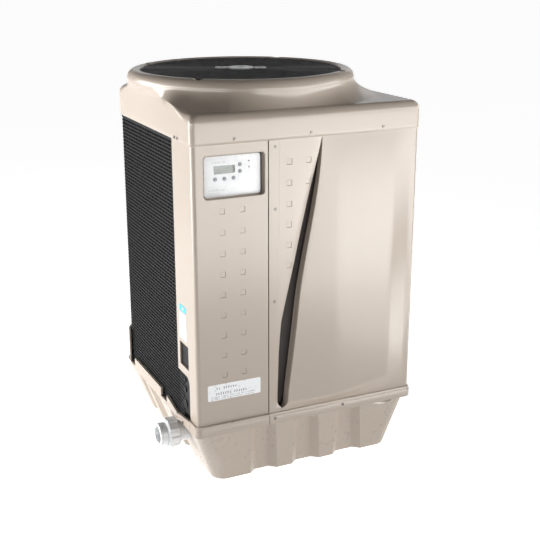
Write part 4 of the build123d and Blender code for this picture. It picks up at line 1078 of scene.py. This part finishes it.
def name_label():
    """The silver label, with strokes in place of its print."""
    a, b = low("name_label"), high("name_label")
    y = a[1]
    rect = (a[0], b[0], a[2], b[2])
    rows = [[(x, depth, z) for x, z in round_rect(*rect, 5, inset)]
            for inset, depth in ((0, b[1]), (0, y + 0.2), (0.2, y))]
    body = [grid(rows, close_v=True, flip=True), recess_floor(rect, 5, 0.2, y)]
    lift = y - 0.1 if y - 0.1 > -7.9 else y
    x0, z1 = a[0], b[2]
    ink = [strokes(x0 + 31, z1 - 17, 8, 9, 8.2, lift, 21, 2.4),
           strokes(x0 + 29, z1 - 37, 10, 14, 8.0, lift, 22, 2.2),
           strokes(x0 + 12, z1 - 45, 4, 40, 3.9, lift, 23, 1.0),
           strokes(x0 + 12, z1 - 52, 3.5, 40, 3.9, lift, 24, 1.0)]
    return make_piece("name_film", [(joined(body), label_silver), (joined(ink), print_ink)],
                      "cabinet", ["name_label"])


def side_mark(y0, y1, z0, z1, x):
    """A printed mark on something that faces left."""
    points = [(x, y1, z0), (x, y0, z0), (x, y0, z1), (x, y1, z1)]
    return np.array(points, float), [[0, 1, 2, 3]]


def side_labels():
    """The printed films on the left side, with plain bars in place of their print."""
    x = low("side_labels")[0]
    blue = block(x, 0, 85, 146, 595, 616)
    upper = block(x, 0, 85, 146, 551, 590)
    lower = block(x, 0, 85, 146, 500, 551)
    stripes = [side_mark(90, 141, 508 + 7.5 * k, 510.5 + 7.5 * k, x - 0.1) for k in range(5)]
    greys = [side_mark(90, 130, 558 + 6.5 * k, 560 + 6.5 * k, x - 0.1) for k in range(4)]
    white = side_mark(108, 118, 601, 610, x - 0.1)
    return make_piece("side_films", [(blue, label_blue), (upper, label_silver), (lower, label_pale),
                                     (joined(stripes), label_aqua), (joined(greys), print_pale),
                                     (white, label_pale)],
                      "cabinet", ["side_labels"])


control_panel()
control_faceplate()
display()
name_label()
side_labels()

# ---------------------------------------------------------------- softened copies of CAD pieces
def softened(node, width, body, slot, material, angle=32):
    """A copy of a CAD node with its sharp edges rounded."""
    source = frame["nodes"][node]
    mesh = source.data.copy()
    mesh.name = node + "_soft"
    mesh.transform(source.matrix_world)
    work = bmesh.new()
    work.from_mesh(mesh)
    bmesh.ops.remove_doubles(work, verts=work.verts, dist=2e-5)
    if width:
        bmesh.ops.dissolve_limit(work, angle_limit=radians(2.0), verts=work.verts, edges=work.edges)
    work.to_mesh(mesh)
    work.free()
    mesh.materials.clear()
    mesh.materials.append(material)
    mesh.polygons.foreach_set("material_index", [0] * len(mesh.polygons))
    obj = bpy.data.objects.new(node + "_soft", mesh)
    bpy.context.scene.collection.objects.link(obj)
    mesh.polygons.foreach_set("use_smooth", [True] * len(mesh.polygons))
    mesh.set_sharp_from_angle(angle=radians(angle))
    if width:
        bevel = obj.modifiers.new("round", "BEVEL")
        bevel.width = width * MM
        bevel.segments = 2
        bevel.limit_method = "ANGLE"
        bevel.angle_limit = radians(angle)
        bevel.harden_normals = False
        bevel.use_clamp_overlap = True
    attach(obj, body)
    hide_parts(node)
    return obj


# each row: node, rounding, body, slot, material and, where it isn't the usual one, the angle of a sharp edge
SOFT = (
    ("base_pan", 0, "cabinet", "casing_beige", casing_low, 9),
    ("outlet_nut", 1.2, "outlet_union_nut", "pvc_white", pvc),
    ("outlet_socket", 1.4, "cabinet", "pvc_white", pvc),
    ("outlet_tailpiece", 1.2, "cabinet", "pvc_white", pvc),
    ("inlet_nut", 1.2, "inlet_union_nut", "pvc_white", pvc),
    ("inlet_socket", 1.4, "cabinet", "pvc_white", pvc),
    ("inlet_tailpiece", 1.2, "cabinet", "pvc_white", pvc),
    ("knockouts", 0.6, "cabinet", "guard_black", plate_black),
)

fan_guard()
guard_hub()
coil_guard()
for node, width, body, slot, material, *limit in SOFT:
    softened(node, width, body, slot, material, *limit)


# ---------------------------------------------------------------- stage, lights and camera
def stage_floor():
    """A pale floor that glows faintly, so that it stays pale far from the lights."""
    size = 40000
    mesh = bpy.data.meshes.new("studio_floor")
    corners = np.array([(-size, -size, 0), (size, -size, 0), (size, size, 0), (-size, size, 0)]) * MM
    mesh.from_pydata((corners - np.array([0, 0, 0.0005])).tolist(), [], [[0, 1, 2, 3]])
    material = bpy.data.materials.new("floor_paper")
    material.use_nodes = True
    tree = material.node_tree
    shader = tree.nodes["Principled BSDF"]
    shader.inputs["Roughness"].default_value = 0.9
    shader.inputs["Specular IOR Level"].default_value = 0.1
    shader.inputs["Emission Color"].default_value = (1, 1, 1, 1)
    shader.inputs["Emission Strength"].default_value = 0.92
    paper = tree.nodes.new("ShaderNodeTexNoise")
    paper.inputs["Scale"].default_value = 3.0
    tint = tree.nodes.new("ShaderNodeMix")
    tint.data_type = "RGBA"
    tint.inputs["A"].default_value = (0.50, 0.50, 0.50, 1)
    tint.inputs["B"].default_value = (0.54, 0.54, 0.54, 1)
    tree.links.new(paper.outputs["Fac"], tint.inputs["Factor"])
    tree.links.new(tint.outputs["Result"], shader.inputs["Base Color"])
    mesh.materials.append(material)
    floor = bpy.data.objects.new("studio_floor", mesh)
    bpy.context.scene.collection.objects.link(floor)


def card_light(name, place, target, size, luminance, spread=180, glossy=True, diffuse=True):
    """A rectangular soft light in metres, set by its brightness, which the camera doesn't see."""
    light = bpy.data.lights.new(name, "AREA")
    light.shape = "RECTANGLE"
    light.size, light.size_y = size
    light.energy = luminance * pi * size[0] * size[1]
    light.spread = radians(spread)
    obj = bpy.data.objects.new(name, light)
    obj.location = place
    obj.rotation_euler = (Vector(target) - Vector(place)).to_track_quat("-Z", "Y").to_euler()
    obj.visible_camera = False
    obj.visible_glossy = glossy
    obj.visible_diffuse = diffuse
    bpy.context.scene.collection.objects.link(obj)


# each row: azimuth and half width in degrees, brightness
HORIZON_CARDS = ((-140, 14, 9.0), (-175, 18, 9.0), (-212, 18, 8.0),
                 (-88, 14, 6.5), (-55, 16, 6.5), (-20, 18, 6.5))
HORIZON_AWAY = 3.4


def lights():
    """Soft keys for the faces, and cards that only show as reflections."""
    card_light("left_key", (-3.2, 1.4, 1.05), (-0.4, 0.2, 0.65), (2.6, 2.0), 7.6)
    card_light("left_low", (-2.4, 0.7, 0.35), (-0.4, 0.1, 0.15), (2.0, 0.6), 6.0)
    card_light("front_fill", (1.5, -3.2, 1.6), (0.0, -0.4, 1.5), (2.4, 1.0), 0.7, spread=70, glossy=False)
    card_light("right_fill", (2.9, -1.9, 1.5), (0.35, -0.4, 1.3), (1.2, 1.4), 2.6, spread=80, glossy=False)
    card_light("low_card", (1.45, -2.45, 0.5), (1.45, 0.0, 0.5), (3.9, 0.98), 6.0, diffuse=False)
    card_light("low_card_right", (1.5, -2.43, 0.38), (1.5, 0.0, 0.38), (1.3, 0.75), 3.5, diffuse=False)
    card_light("floor_card_front", (1.32, -1.85, 0.02), (1.32, -1.85, 1.0), (1.2, 1.1), 3.5, diffuse=False)
    card_light("floor_card_right", (1.9, -0.95, 0.02), (1.9, -0.95, 1.0), (1.5, 0.65), 5.0, diffuse=False)
    for turn, half, level in HORIZON_CARDS:
        a = radians(turn)
        place = (HORIZON_AWAY * cos(a), HORIZON_AWAY * sin(a), 1.62)
        size = (2 * HORIZON_AWAY * np.tan(radians(half)), 0.75)
        card_light(f"horizon_card_{-turn}", place, (0, 0, 1.5), size, level, diffuse=False)
    card_light("back_card", (2.2, 4.4, 2.3), (0.3, 0.0, 1.2), (3.6, 1.4), 0.7, diffuse=False)


def world():
    """A studio whose walls are bright near the horizon and whose ceiling is dim."""
    scene_world = bpy.data.worlds.new("studio")
    scene_world.use_nodes = True
    tree = scene_world.node_tree
    background = tree.nodes["Background"]
    place = tree.nodes.new("ShaderNodeTexCoord")
    split = tree.nodes.new("ShaderNodeSeparateXYZ")
    tree.links.new(place.outputs["Generated"], split.inputs["Vector"])
    ramp = tree.nodes.new("ShaderNodeValToRGB")
    ramp.color_ramp.elements[0].position = 0.02
    ramp.color_ramp.elements[0].color = (0.9, 0.9, 0.9, 1)
    ramp.color_ramp.elements[1].position = 0.75
    ramp.color_ramp.elements[1].color = (0.10, 0.10, 0.10, 1)
    tree.links.new(split.outputs["Z"], ramp.inputs["Fac"])
    tree.links.new(ramp.outputs["Color"], background.inputs["Color"])
    background.inputs["Strength"].default_value = 0.35
    bpy.context.scene.world = scene_world


def camera():
    """The camera, fitted to the unit's straight edges."""
    data = bpy.data.cameras.new("camera")
    data.lens = 67.5
    data.sensor_width = 36
    data.clip_end = 200
    obj = bpy.data.objects.new("camera", data)
    obj.location = (-1.4462, -3.1948, 1.711)
    obj.rotation_euler = (radians(90 - 17.57), radians(0.07), radians(-25.04))
    bpy.context.scene.collection.objects.link(obj)
    bpy.context.scene.camera = obj


stage_floor()
lights()
world()
camera()
bpy.context.scene.view_settings.view_transform = "Standard"
